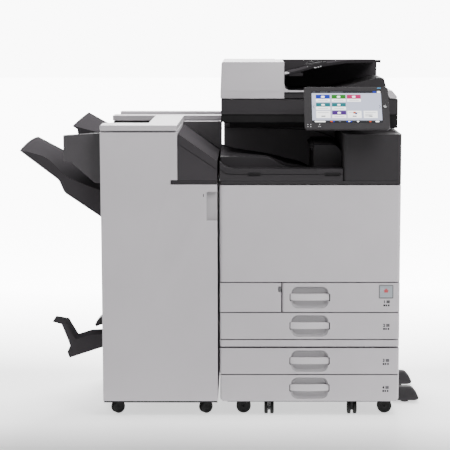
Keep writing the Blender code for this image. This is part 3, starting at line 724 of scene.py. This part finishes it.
def make_scanner():
    front = [(150, 1033)] + arc(153.5, 1032.2, 3.5, 180, 90, 4) + [(556, 1035.7), (556, 939.8)]
    front += [(160, 939.8), (153, 984), (150, 987)]
    housing = prism("scanner_shell", front, "X", 2.7, 586.3)
    carve(housing,
          block("t", (24, 562), (184, 526), (1029, 1060)),
          block("t", (32, 554), (192, 518), (948, 1060)))
    arm = [(160, 962), (160, 1010), (0, 1004), (-19, 998), (-19, 986), (0, 978), (110, 962)]
    join(housing, prism("t", arm, "X", 405, 475))
    chin = [(140, 930), (140, 960), (158.5, 960), (187, 939), (187, 930)]
    end_chin = [(140, 930), (140, 960), (158.5, 960), (480, 939.9), (480, 930)]
    carve(housing, prism("t", chin, "X", -10, 545), prism("t", end_chin, "X", -10, 31),
          block("t", (420, 460), (-40, 14), (950, 1020)))
    place(soften(housing, 1.6), DARK, "frame", "scanner_housing")
    # Painted shade: the downward-leaning strip below the seam and the faces under it near the front, in
    # the darkest plastic.
    tint(housing, DEEP, lambda spot: spot.z < 985.5 and 140 < spot.y < 192)
    seam = block("scanner_seam", (4.5, 584.5), (149.4, 150.6), (985.2, 986.6))
    place(soften(seam, 0.2, 2), DEEP)
    rails = []
    for y in (232.0, 478.0):
        rails.append(rod(3, 0, 520, at(33, y, 952.5), (1, 0, 0), 16))
    place(smooth(group("carriage_rods", rails)), STEEL)


# Document feeder


def tray_height(x):
    return height_on([(214, 1126), (264, 1137), (427, 1162), (524, 1166)], x)


def make_feeder():
    skirt = [(0.5, 1038.4), (0.5, 1070), (211, 1070), (211, 1038.4)]
    base = prism("feeder_skirt", skirt, "Y", *FEEDER_Y)
    rim = [(210, 1059), (210, 1085), (212, 1085)] + arc(228, 1081, 16, 180, 270, 6)[1:]
    rim += [(520, 1065), (566, 1065), (583, 1045), (583, 1038.4), (560, 1038.4), (548, 1059)]
    join(base, prism("t", rim, "Y", *FEEDER_Y))
    carve(soften(base, 1.4), block("t", (-5, 209.6), (140, 560), (1062.7, 1090)))
    place(base, LIGHT, "feeder", "feeder_base")

    plate("feeder_grip", rounded((210.6, 556), (1038.6, 1058.8), 5), "Y", 156, 548,
          1.5, DARK, "feeder")
    slab("platen_pad", (26, 560), (188, 524), (1036.6, 1038.2), 0.4, BACKING, "feeder")

    works = block("feed_works", (14, 205), (158, 544), (1063, 1112))
    carve(works, block("t", (40, 180), (180, 520), (1096, 1120)))
    place(soften(works, 1.5), DEEP, "feeder")
    rollers = []
    for x, z in ((70, 1102), (110, 1104), (150, 1102)):
        for y in (250, 330, 410):
            rollers.append(turned("t", [(4, -16), (9, -16), (10, -14), (10, 14), (9, 16), (4, 16)],
                                  at(x, y, z), (0, 1, 0), 24))
        rollers.append(rod(3.2, -168, 168, at(x, 350, z), (0, 1, 0), 16))
    place(smooth(group("feed_rollers", rollers)), TREAD, "feeder")

    wall = [(206, 1063), (206, 1151)] + arc(212, 1151, 6, 180, 90, 4) + [(535, 1157)]
    wall += arc(535, 1151, 6, 90, 0, 4) + [(541, 1063)]
    plate("feeder_back_wall", wall, "Y", 480, 551, 1.5, MATTE, "feeder")

    exit_top = curve_through(
        [(214, 1065.6), (300, 1065.8), (355, 1067), (405, 1077), (515, 1103.5), (540, 1104)])
    catch = exit_top + [(547, 1078), (547, 1060), (214, 1060)]
    plate("feeder_exit_tray", catch, "Y", 160, 479, 1.5, DARK, "feeder")

    side = [(4.4, 1154), (0.2, 1050), (211, 1050), (211, 1158.6), (8, 1158.6)]
    cover = prism("feed_cover_shell", side, "Y", *FEEDER_Y)
    carve(cover, block("t", (188, 240), (476, 570), (1040, 1170)))
    carve(soften(cover, 3, 4), block("t", (6, 240), (154, 548), (1040, 1154.5)),
          block("t", (-5, 240), (140, 570), (1040, 1063)))
    place(cover, LIGHT, "feed_cover", "feed_cover")
    ribs = [block("t", (14, 186), (y, y + 2), (1140, 1154.6)) for y in range(180, 530, 34)]
    place(soften(group("feed_cover_ribs", ribs), 0.4), DARK, "feed_cover")


def make_document_tray():
    """A thin tray that sweeps up to the right, with a raised rim along its front."""
    top = curve_through(
        [(214, 1120), (267.7, 1133.4), (314.6, 1146.5), (417.8, 1162.4), (518.8, 1165.2), (525, 1163)])
    under = [(213.7, 1112.4), (314.6, 1139.5), (417.9, 1154.5), (521.2, 1156.8), (525, 1155.4)]
    rings = []
    for x, z in top:
        low = height_on(under, x)
        drop = 7.0 * (x - 214) / 311
        ring = [(x, 156, z), (x, 166, z - 0.4), (x, 174, z - 3), (x, 466, z - 3.0 - drop),
                (x, 474, z - 0.4 - drop), (x, 477.5, z - drop), (x, 477.5, low - drop), (x, 156, low)]
        rings.append(ring)
    tray = loft("document_tray_shell", rings)
    place(soften(tray, 1.4), TRAY, "document_tray", "document_tray")
    plate("tray_lever", [(211.8, 1117), (211.8, 1124), (227, 1124), (227, 1120)], "Y", 154.5, 166,
          1.0, GRIP, "document_tray")
    wedge = [(227, 1111), (227, 1121), (252, 1127), (273, 1121), (273, 1112)]
    root = prism("tray_root", wedge, "Y", 158, 470)
    place(soften(root, 1.5), TRAY, "document_tray", slot="black_plastic")
    marks = [block("t", (x, x + w), (155.6, 156.4), (z - 5, z - 2)) for x, w, z in
             ((309, 8, 1143), (321, 5, 1145), (329, 4, 1147))]
    place(group("tray_size_marks", marks), PALE_INK, "document_tray")
    for name, ys in (("front_paper_guide", (190, 195)), ("rear_paper_guide", (430, 435))):
        z0, z1 = tray_height(288), tray_height(352)
        wall = [(288, z0 + 0.4), (352, z1 + 0.4), (352, z1 + 8.5), (300, z0 + 10)]
        fence = prism(name + "_fence", wall, "Y", *ys)
        foot = (ys[0], ys[0] + 26) if name.startswith("front") else (ys[1] - 26, ys[1])
        sole = [(294, z0 + 1.6), (346, z1 + 0.2), (346, z1 + 2), (294, z0 + 3.2)]
        join(fence, prism("t", sole, "Y", *foot))
        place(soften(fence, 0.8), DARK, name, name)


# Operation panel


def upright(name, outline, out, back=0.2):
    """A thin plate on the panel's face: it stands out by out and goes back a little."""
    return prism(name, outline, "Y", PANEL_FACE - out, PANEL_FACE + back)


def make_panel():
    height = about(PANEL_MIDDLE, 84.5)
    screen = (PANEL_MIDDLE + SCREEN_S[0], PANEL_MIDDLE + SCREEN_S[1])
    key_x, key_z = HOME_KEY[0], PANEL_MIDDLE + HOME_KEY[1]
    back = PANEL_FACE + 22.0
    shell = prism("panel_shell", rounded((270.5, 540.5), height, 9), "Y", PANEL_FACE, PANEL_FACE + 8)
    carve(shell, prism("t", rounded(SCREEN_X, screen, 1), "Y", PANEL_FACE - 5, PANEL_FACE + 2.2))
    carve(shell, rod(6.6, -5, 5, at(key_x, PANEL_FACE, key_z), (0, 1, 0)))
    place(lean(soften(shell, 1.8, 4)), DARK, "panel", "operation_panel")
    housing = rounded((290, 520), (PANEL_MIDDLE - 52, PANEL_MIDDLE + 58), 10)
    back_shell = prism("panel_back", housing, "Y", PANEL_FACE + 7.8, back)
    soften(back_shell, 3.0, 4)
    join(back_shell, block("t", (422, 458), (back - 2, -1), about(PANEL_MIDDLE, 6)))
    join(back_shell, rod(3, -34, 34, at(440, *PANEL_HINGE), (1, 0, 0), 20))
    place(lean(smooth(back_shell)), DARK, "panel")

    opening = rounded(within(SCREEN_X, 0.3), within(screen, 0.3), 0.8)
    glass = prism("display_glass", opening, "Y", PANEL_FACE + 0.1, PANEL_FACE + 1.7)
    place(lean(soften(glass, 0.3, 2)), SCREEN, "panel", "touchscreen")

    key = turned("home_key", [(0.1, 0.8), (5.2, 0.8), (6, 1.6), (6, 4), (0.1, 4)],
                 at(key_x, PANEL_FACE - 1.0, key_z), (0, 1, 0))
    place(lean(smooth(key)), DARK, "home_button", "home_button", slot="black_plastic")
    ring = turned("home_ring", [(5.2, 0), (5.2, 0.4), (4.2, 0.4), (4.2, 0)],
                  at(key_x, PANEL_FACE - 0.35, key_z), (0, 1, 0))
    place(lean(smooth(ring)), PALE_INK, "home_button", slot="black_plastic")

    lamp_z = PANEL_MIDDLE + 79.7
    lamp = upright("status_lamp", rounded((505.5, 517.5), about(lamp_z, 1.6), 1.5), 0.5)
    blue = lit("status_blue", (0.08, 0.45, 0.85), 1.2)
    place(lean(soften(lamp, 0.2, 2)), blue, "panel", slot="screen_glass")
    signs = []
    dots = ((281, -66.7), (290, -66.7), (281, -75.2), (290, -75.2),
            (318, -66.7), (315.5, -75.2), (320.5, -75.2))
    for x, distance in dots:
        z = PANEL_MIDDLE + distance
        signs.append(upright("t", rounded(about(x, 1.6), about(z, 1.5), 0.9, 3), 0.15))
    place(lean(group("panel_signs", signs)), PALE_INK, "panel")


def make_display():
    """A generic home screen: bars, coloured tiles and abstract marks, all without lettering."""
    tones = {
        "sky": (1.02, 1.08, 1.35), "white": (2.6, 2.6, 2.6), "bar": (0.01, 0.01, 0.015),
        "blue": (0.0, 0.03, 0.62), "green": (0.01, 0.32, 0.0), "pink": (0.85, 0.0, 0.20),
        "teal": (0.0, 0.26, 0.30), "purple": (0.10, 0.01, 0.30), "grey": (0.16, 0.17, 0.20),
        "line": (0.85, 0.88, 0.98), "orange": (0.95, 0.10, 0.0), "navy": (0.01, 0.07, 0.35),
    }
    shapes = {tone: [] for tone in tones}
    left, right = within(SCREEN_X, 0.4)

    def patch(tone, xs, spans, out, radius=0.5):
        """A rounded rectangle over x and over distance up the face from its middle."""
        zs = (PANEL_MIDDLE + spans[0], PANEL_MIDDLE + spans[1])
        small = min(radius, (xs[1] - xs[0]) / 2.2, (zs[1] - zs[0]) / 2.2)
        shapes[tone].append(upright("t", rounded(xs, zs, small, 3), out, 0.05))

    patch("bar", (left, right), within(SCREEN_S, 0.4), 0.1)
    patch("sky", (left, right), (-50.3, 59.0), 0.2)
    for x, width in ((299, 8), (323, 16), (341, 5), (355, 40)):
        patch("grey", (x, x + width), (62.4, 64.8), 0.2)
    patch("blue", (491, 502), (60.0, 67.4), 0.2)
    patch("white", (505, 515), (60.0, 67.4), 0.2)
    columns = ((308.4, 353.4), (358.9, 403.4), (407.5, 452), (458.9, 502.9))
    rows = ((52.3, 36, 24.4), (19.2, 4.2, -8.5), (-12.5, -28.5, -41.1))
    heads = (("blue", "green", "pink", None),
             ("teal", "teal", None, None),
             ("white", "purple", "white", "white"))
    for (top, split, foot), row in zip(rows, heads):
        for (x0, x1), tone in zip(columns, row):
            if tone is None:
                continue
            patch("white", (x0, x1), (foot, top), 0.3)
            if tone == "white":
                patch("line", (x0 + 4, x1 - 5), (top - 7.5, top - 5.5), 0.4)
                patch("grey", (x0 + 16, x1 - 16), (foot + 5, foot + 9), 0.4)
                continue
            patch(tone, (x0, x1), (split, top), 0.4)
            patch("white", (x0 + 17, x1 - 17), (split + 4.5, top - 4.5), 0.5, 2.5)
            patch("line", (x0 + 7, x1 - 7), (foot + 4.5, foot + 6.6), 0.4)
    x0 = columns[2][0]
    patch("orange", (x0 + 18, x0 + 27), (-24.0, -16.0), 0.5, 3.0)
    patch("navy", (x0 + 24, x0 + 31), (-26.5, -20.5), 0.6, 2.0)
    for k in range(3):
        x0 = columns[3][0]
        patch("line", (x0 + 4, x0 + 30 - 5 * k), (-27.0 - 4 * k, -25.0 - 4 * k), 0.5)
    marks = ((303, 34, "white"), (352, 8, "orange"), (360, 6, "blue"), (379, 7, "grey"),
             (403, 18, "blue"), (437, 6, "white"), (475, 7, "orange"), (495, 12, "white"))
    for x, width, tone in marks:
        patch(tone, (x, x + width), (-57.4, -52.4), 0.3, 2.0)
    patch("white", (409, 415), (-56.2, -53.4), 0.5, 1.2)
    for x, way in ((left + 5, -1), (right - 5, 1)):
        z = PANEL_MIDDLE + 4.0
        arrow = [(x - 2.0 * way, z + 7), (x + 2.5 * way, z), (x - 2.0 * way, z - 7),
                 (x - 3.4 * way, z - 6), (x + 0.6 * way, z), (x - 3.4 * way, z + 6)]
        shapes["grey"].append(upright("t", arrow, 0.4, 0.05))
    for tone, parts in shapes.items():
        light = lit("display_" + tone, tones[tone], 1.0)
        place(lean(group("display_" + tone, parts)), light, "panel", slot="screen_glass")


# Finisher


def make_finisher_shell():
    left, right = FINISHER_X
    top = 941.6
    cabinet = block("finisher_shell", (left, right), (23, 613), (54, top))
    carve(cabinet,
          block("t", (-136, 20), (0, 490), (781, 1000)),
          block("t", (left + 8, right - 8), (0, 560), (62, 760)),
          block("t", (left + 8, -144), (0, 115), (700, top - 8)),
          block("t", (left - 10, -244), (133, 520), (905, 1000)))
    place(soften(cabinet, 1.4), LIGHT, "frame", "finisher_cabinet")
    tint(cabinet, DEEP, lambda spot: spot.x < -243 and 132 < spot.y < 521 and spot.z > 904)
    slab("finisher_plinth", (left + 2, right - 1), (1.5, 22.6), (48.5, 53.6), 0.8, DEEP)

    outline = [(left, 54), (right, 54), (right, 769), (-158, 769)]
    outline += [(-158, 783.5), (-136, 783.5), (-136, 937), (left, 937)]
    door = prism("finisher_door_shell", outline, "Y", 0, 20)
    carve(door, block("t", (left + 10, -52), (6, 40), (64, 755)))
    grip = [(-42, 746)] + arc(-36, 740, 6, 180, 90, 6)[1:] + [(20, 746), (20, 651), (-42, 651)]
    carve(door, prism("t", grip, "Y", -5, 14))
    place(soften(door, 1.8), LIGHT, "finisher_door", "finisher_door")
    # Painted shade: the finisher door's grip recess in the softer recess shade.
    tint(door, RECESS_SHADE_SOFT, lambda spot: spot.x > -43 and 2 < spot.y < 15 and 651 < spot.z < 747)
    slab("finisher_grip_lip", (-41, -8), (1, 12), (648, 651.8), 1, GRIP, "finisher_door")
    lamp = prism("finisher_lamp", rounded((-53.2, -50.8), (729, 739), 1, 4), "Y", -0.4, 0.2)
    place(soften(lamp, 0.2, 2), INK, "finisher_door")

    cover_top, under = 960.0, 942.0
    plan = arc(left + 5, 5, 5, 180, 270, 5) + [(-137, 0), (-136, 527), (0, 527), (0, 612), (-388, 612)]
    plan += [(-388, 527), (-236, 527), (-236, 125), (left, 125)]
    cover = prism("finisher_lid", plan, "Z", under, cover_top)
    place(soften(cover, 2.5, 4), LIGHT, "frame", "finisher_top_cover")
    rise = block("finisher_rear_rise", (-366, -2), (613.4, 640), (900, 970))
    join(rise, block("t", (-366, -2), (600, 630), (959.5, 970)))
    place(soften(rise, 2.5, 4), LIGHT)


def make_bridge():
    """The ramp between the output tray and the finisher, with a grooved front."""
    right = FINISHER_X[1]
    line = curve_through([(-135, 930), (-130, 930.5), (-122, 925), (-66, 886), (right, 845)], 6)
    ramp = prism("bridge_ramp", [(right, 781.8), (-135, 781.8)] + line, "Y", 2, 489)
    groove = [(-140, 906), (right + 5, 815), (right + 5, 813), (-140, 904)]
    carve(ramp, prism("t", groove, "Y", -2, 4.5))
    place(soften(ramp, 2.0), MATTE, "frame", "bridge_cover")
    slab("bridge_strip", (-157, right), (1, 22), (770.5, 781.4), 1.2, DARK)
    slab("bridge_back", (-135.4, 0), (486.5, 489.6), (782, 941.4), 0.6, LINING)


def make_exit_frame():
    side = FINISHER_X[0] - 0.4
    outline = [(side, 769), (-406, 769), (-484, 838), (-508, 840), (-508, 924), (side, 932)]
    plate("exit_side_front", outline, "Y", 50, 78, 2, SIDE_DARK, "frame", "exit_frame")
    plate("exit_side_rear", outline, "Y", 545, 573, 2, SIDE_DARK)
    slab("exit_beam", (side - 16, side), (77.5, 545.5), (846, 874), 1.5, DEEP)
    parts = []
    tyre = [(3, -12), (10, -12), (11, -10), (11, 10), (10, 12), (3, 12)]
    for y in range(120, 520, 60):
        parts.append(turned("t", tyre, at(side - 6, y, 890), (0, 1, 0), 28))
    parts.append(rod(4, -233, 233, at(side - 6, 311.5, 890), (0, 1, 0), 16))
    place(smooth(group("exit_rollers", parts)), TREAD)


def tray_shell(name, front, rear, under, ys, crown, dip, rows=25, steps=40):
    """A stacking tray between its front and rear rims, domed at the tip and hollow at the root.

    front, rear and under are lines of (x, z) from the tip to the root."""
    def point(line, along):
        x = line[0][0] + along * (line[-1][0] - line[0][0])
        return x, height_on(line, x)

    rings = []
    for step in range(steps + 1):
        along = step / steps
        (front_x, front_z), (rear_x, rear_z), (under_x, under_z) = [
            point(line, along) for line in (front, rear, under)]
        ring_top, ring_under = [], []
        for row in range(rows):
            v = row / (rows - 1)
            arch = math.sin(math.pi * v) ** 0.7
            x = front_x + (rear_x - front_x) * v
            z = front_z + (rear_z - front_z) * v
            z += arch * (crown * (1 - along) ** 2 - dip * min(1.0, 2.5 * along))
            y = ys[0] + (ys[1] - ys[0]) * v
            ring_top.append((x, y, max(z, under_z + 0.5)))
            under_rise = (rear_z - front_z) * v * (1 - along)
            ring_under.append((under_x + (x - front_x), y, under_z + under_rise))
        rings.append(ring_top + ring_under[::-1])
    return smooth(loft(name, rings), 30.0)


def make_finisher_trays():
    side = FINISHER_X[0] - 0.4
    front = curve_through(
        [(-652.6, 873), (-610, 864), (-563, 845.5), (-507, 792), (-458, 767.6), (side - 1, 740)], 6)
    rear = [(-653.3, 883.3), (-567.4, 837.7), (side - 1, 745)]
    under = [(-652.6, 870.9), (-527.7, 775.8), (-510, 734.6), (side - 1, 650)]
    shift = tray_shell("shift_tray_shell", front, rear, under, (80, 543), 9.0, 20.0)
    place(shift, MATTE, "shift_tray", "shift_tray")
    front = [(-480.2, 953.2), (side, 928)]
    rear = [(-471.9, 971.2), (-406.8, 934.3), (side, 930)]
    under = [(-480.2, 950.8), (-465.4, 940.8), (-465, 925.7), (side, 905)]
    proof = tray_shell("proof_tray_shell", front, rear, under, (90, 530), 2.0, 3.0)
    place(proof, MATTE, "frame", "proof_tray")

    booklet = [(side, 211), (-508, 170.6), (-515.4, 190.4), (-505.6, 211), (-510.4, 228.1), (-533, 285)]
    booklet += [(-563, 293.5), (-562, 297), (-518, 289), (-486, 234.5), (-440.8, 249), (side, 252)]
    plate("booklet_tray_arm", booklet, "Y", 130, 225, 1.6, MATTE, "frame", "booklet_tray")
    flap = [(-387, 309), (-389, 312), (-397, 311), (-412, 297)]
    flap += [(-423, 282), (-418, 273.5), (-408, 279), (-387, 284)]
    plate("booklet_flap_guide", flap, "Y", 145, 215, 1.5, DARK, "booklet_flap", "booklet_flap")


# Wheels and feet


def make_casters():
    for joint in frame["joints"]:
        if not joint["name"].endswith("_wheel_spin"):
            continue
        body = joint["child"]
        low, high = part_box(body)
        radius = (high.z - low.z) / 2 / MM
        half_width = 16.0 if "inner" in body else (12.0 if "finisher" in body else 12.5)
        axis, centre = joint["axis"], joint["pos_m"]
        wheel = [(3, 3.7), (radius - 5, 3.7), (radius - 1.5, 4.2), (radius, 6)]
        wheel += [(radius - inset, half_width - back) for inset, back in
                  ((0, 3.5), (1.5, 0.8), (5, 0), (8, 0.4), (9, 2))]
        wheel += [(6, half_width - 2), (5, half_width), (3, half_width)]
        mirrored = [(r, -a) for r, a in wheel]
        pair = turned(body + "_tyres", wheel, centre, axis)
        axle = rod(2.9, -half_width, half_width, centre, axis, 20)
        merge(pair, [turned("t", mirrored, centre, axis), axle])
        place(smooth(pair), TREAD, body, body)


def make_feet():
    for name in ("front_stabiliser", "rear_stabiliser"):
        low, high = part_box(name)
        front, back = (low.y - FRONT) / MM, (high.y - FRONT) / MM
        rings = []
        profile = ((8, 666, 8), (11, 673, 2), (17, 675, 0), (34, 667, 3),
                   (48.0, 656.0, 9.0), (53.0, 650.0, 14.0), (54.5, 640.0, 20.0))
        for z, x1, inset in profile:
            outline = rounded((587.4, x1), (front + inset, back - inset), 12)
            rings.append([(x, y, z) for x, y in outline])
        foot = loft(name + "_foot", rings)
        middle = (front + back) / 2
        pad = turned("t", [(0.1, 1), (13, 1), (14, 3), (14, 14), (0.1, 14)],
                     at(627.5, middle, 0.0), (0, 0, 1))
        join(foot, pad)
        place(soften(foot, 1.5), DARK, "frame", name)


# Back and sides


def make_rear():
    cover = block("rear_panel", (5, 582), (548.4, 566), (58, 936))
    slots = [block("t", (60, 200), (560, 580), (z, z + 4)) for z in range(600, 760, 12)]
    slots += [block("t", (400, 530), (560, 580), (z, z + 4)) for z in range(640, 760, 12)]
    slots.append(block("t", (480, 512), (556, 580), (86, 112)))
    seams = [block("t", (0, 590), (564.8, 580), (z, z + 1.5)) for z in (259, 520, 780)]
    carve(cover, *(slots + seams))
    place(soften(cover, 1.0), LIGHT, "frame", "rear_cover")
    screws = []
    head = [(0.1, 0), (2.2, 0.2), (3.8, 1.2), (3.8, 3)]
    for x in (18, 293, 569):
        for z in (72, 245, 275, 505, 535, 765, 795, 922):
            screws.append(turned("t", head, at(x, 567.6, z), (0, -1, 0), 16))
    place(smooth(group("rear_screws", screws)), STEEL)


def make_right_side():
    door = block("right_door_shell", (573, 586.6), (61, 518.6), (301, 749))
    carve(door, block("t", (579.4, 600), (128, 452), (518, 702)))
    carve(door, prism("t", rounded((70, 110), (590, 660), 10), "X", 578, 600))
    place(soften(door, 2.0), LIGHT, "right_door", "right_door")
    tray = block("bypass_lid", (580, 586.6), (130, 450), (520.5, 700))
    carve(tray, prism("t", rounded((250, 330), (676, 694), 6), "X", 583, 600))
    place(soften(tray, 1.6), LIGHT, "bypass_tray", "bypass_tray")


# Kept frame parts, floor, light and camera


def paint_kept_nodes():
    finishes = {"base_frame": PAINT, "finisher_base": PAINT, "platen_glass": GLASS, "scan_carriage": DEEP,
                "waste_toner_bottle": INNER}
    for number in range(4):
        finishes["toner_bottle_%d" % (number + 1)] = TONERS[number]
        finishes["drawer_%d_box" % (number + 1)] = INNER
    for node in frame["nodes"]:
        if node.endswith("_swivel"):
            finishes[node] = NYLON
    for node, material in finishes.items():
        mesh = frame["nodes"][node].data
        mesh.materials.clear()
        mesh.materials.append(material)


def make_stage():
    """A pale floor that brightens away from the machine, a lit backdrop and two lamps."""
    reach = 30000.0
    corners = [at(-reach, -reach, 0), at(reach, -reach, 0), at(reach, reach, 0), at(-reach, reach, 0)]
    floor = piece_from("floor", corners, [(0, 1, 2, 3)])
    material, nodes, links, shader, spot = material_nodes("pale_floor")
    clouds = noise(nodes, links, spot, 2.0, 2.0)
    vary(nodes, links, clouds, (0.86, 0.86, 0.86), (0.88, 0.88, 0.88), shader.inputs["Base Color"])
    white = (1.0, 1.0, 1.0, 1.0)
    set_inputs(shader, {"Roughness": 0.9, "Emission Color": white})
    split = nodes.new("ShaderNodeSeparateXYZ")
    links.new(spot, split.inputs["Vector"])
    near = spread(nodes, links, split.outputs["Y"], 0.0, 1.1, -0.65, -0.35)
    far = spread(nodes, links, split.outputs["Y"], 0.0, BACKDROP, 0.4, 2.2)
    glow = nodes.new("ShaderNodeMath")
    links.new(near, glow.inputs[0])
    links.new(far, glow.inputs[1])
    links.new(glow.outputs["Value"], shader.inputs["Emission Strength"])
    floor.data.materials.append(material)

    world = bpy.data.worlds.new("studio")
    world.use_nodes = True
    nodes, links = world.node_tree.nodes, world.node_tree.links
    split = nodes.new("ShaderNodeSeparateXYZ")
    links.new(nodes.new("ShaderNodeTexCoord").outputs["Generated"], split.inputs["Vector"])
    behind = spread(nodes, links, split.outputs["Y"], 0.0, BACKDROP, 0.55, 0.90)
    level = spread(nodes, links, split.outputs["Z"], 1.0, 0.0, 0.15, 0.55)
    both = nodes.new("ShaderNodeMath")
    both.operation = "MULTIPLY_ADD"
    both.inputs[2].default_value = 0.60
    links.new(behind, both.inputs[0])
    links.new(level, both.inputs[1])
    links.new(both.outputs["Value"], nodes["Background"].inputs["Strength"])
    set_inputs(nodes["Background"], {"Color": white})
    bpy.context.scene.world = world

    for name, spot, target, size, power in (
            ("top_back", (100, 2100, 3300), (50, 300, 800), 1.8, 270.0),
            ("front_fill", (1200, -1350, 2500), (350, 0, 1000), 1.4, 62.0)):
        lamp = bpy.data.lights.new(name, "AREA")
        lamp.shape = "DISK"
        lamp.size = size
        lamp.energy = power
        light = add_object(name, lamp)
        light.location = at(*spot)
        light.rotation_euler = (at(*target) - at(*spot)).to_track_quat("-Z", "Y").to_euler()


def make_camera():
    """Five metres in front, looking down by eight degrees."""
    data = bpy.data.cameras.new("view")
    data.sensor_width = 36.0
    data.lens = 124.70
    data.shift_x = -0.0556
    data.shift_y = 0.0289
    camera = add_object("view", data)
    camera.location = at(98.45, -5000.0, 1298.0)
    camera.rotation_euler = (math.radians(82.0), 0.0, 0.0)
    bpy.context.scene.camera = camera


make_body_shells()
make_gap_seals()
make_drawers()
make_front_doors()
make_inside_front()
make_size_window()
make_output_tray()
make_back_wall()
make_tower()
make_scanner()
make_feeder()
make_document_tray()
make_panel()
make_display()
make_finisher_shell()
make_bridge()
make_exit_frame()
make_finisher_trays()
make_casters()
make_feet()
make_rear()
make_right_side()
paint_kept_nodes()
make_stage()
make_camera()
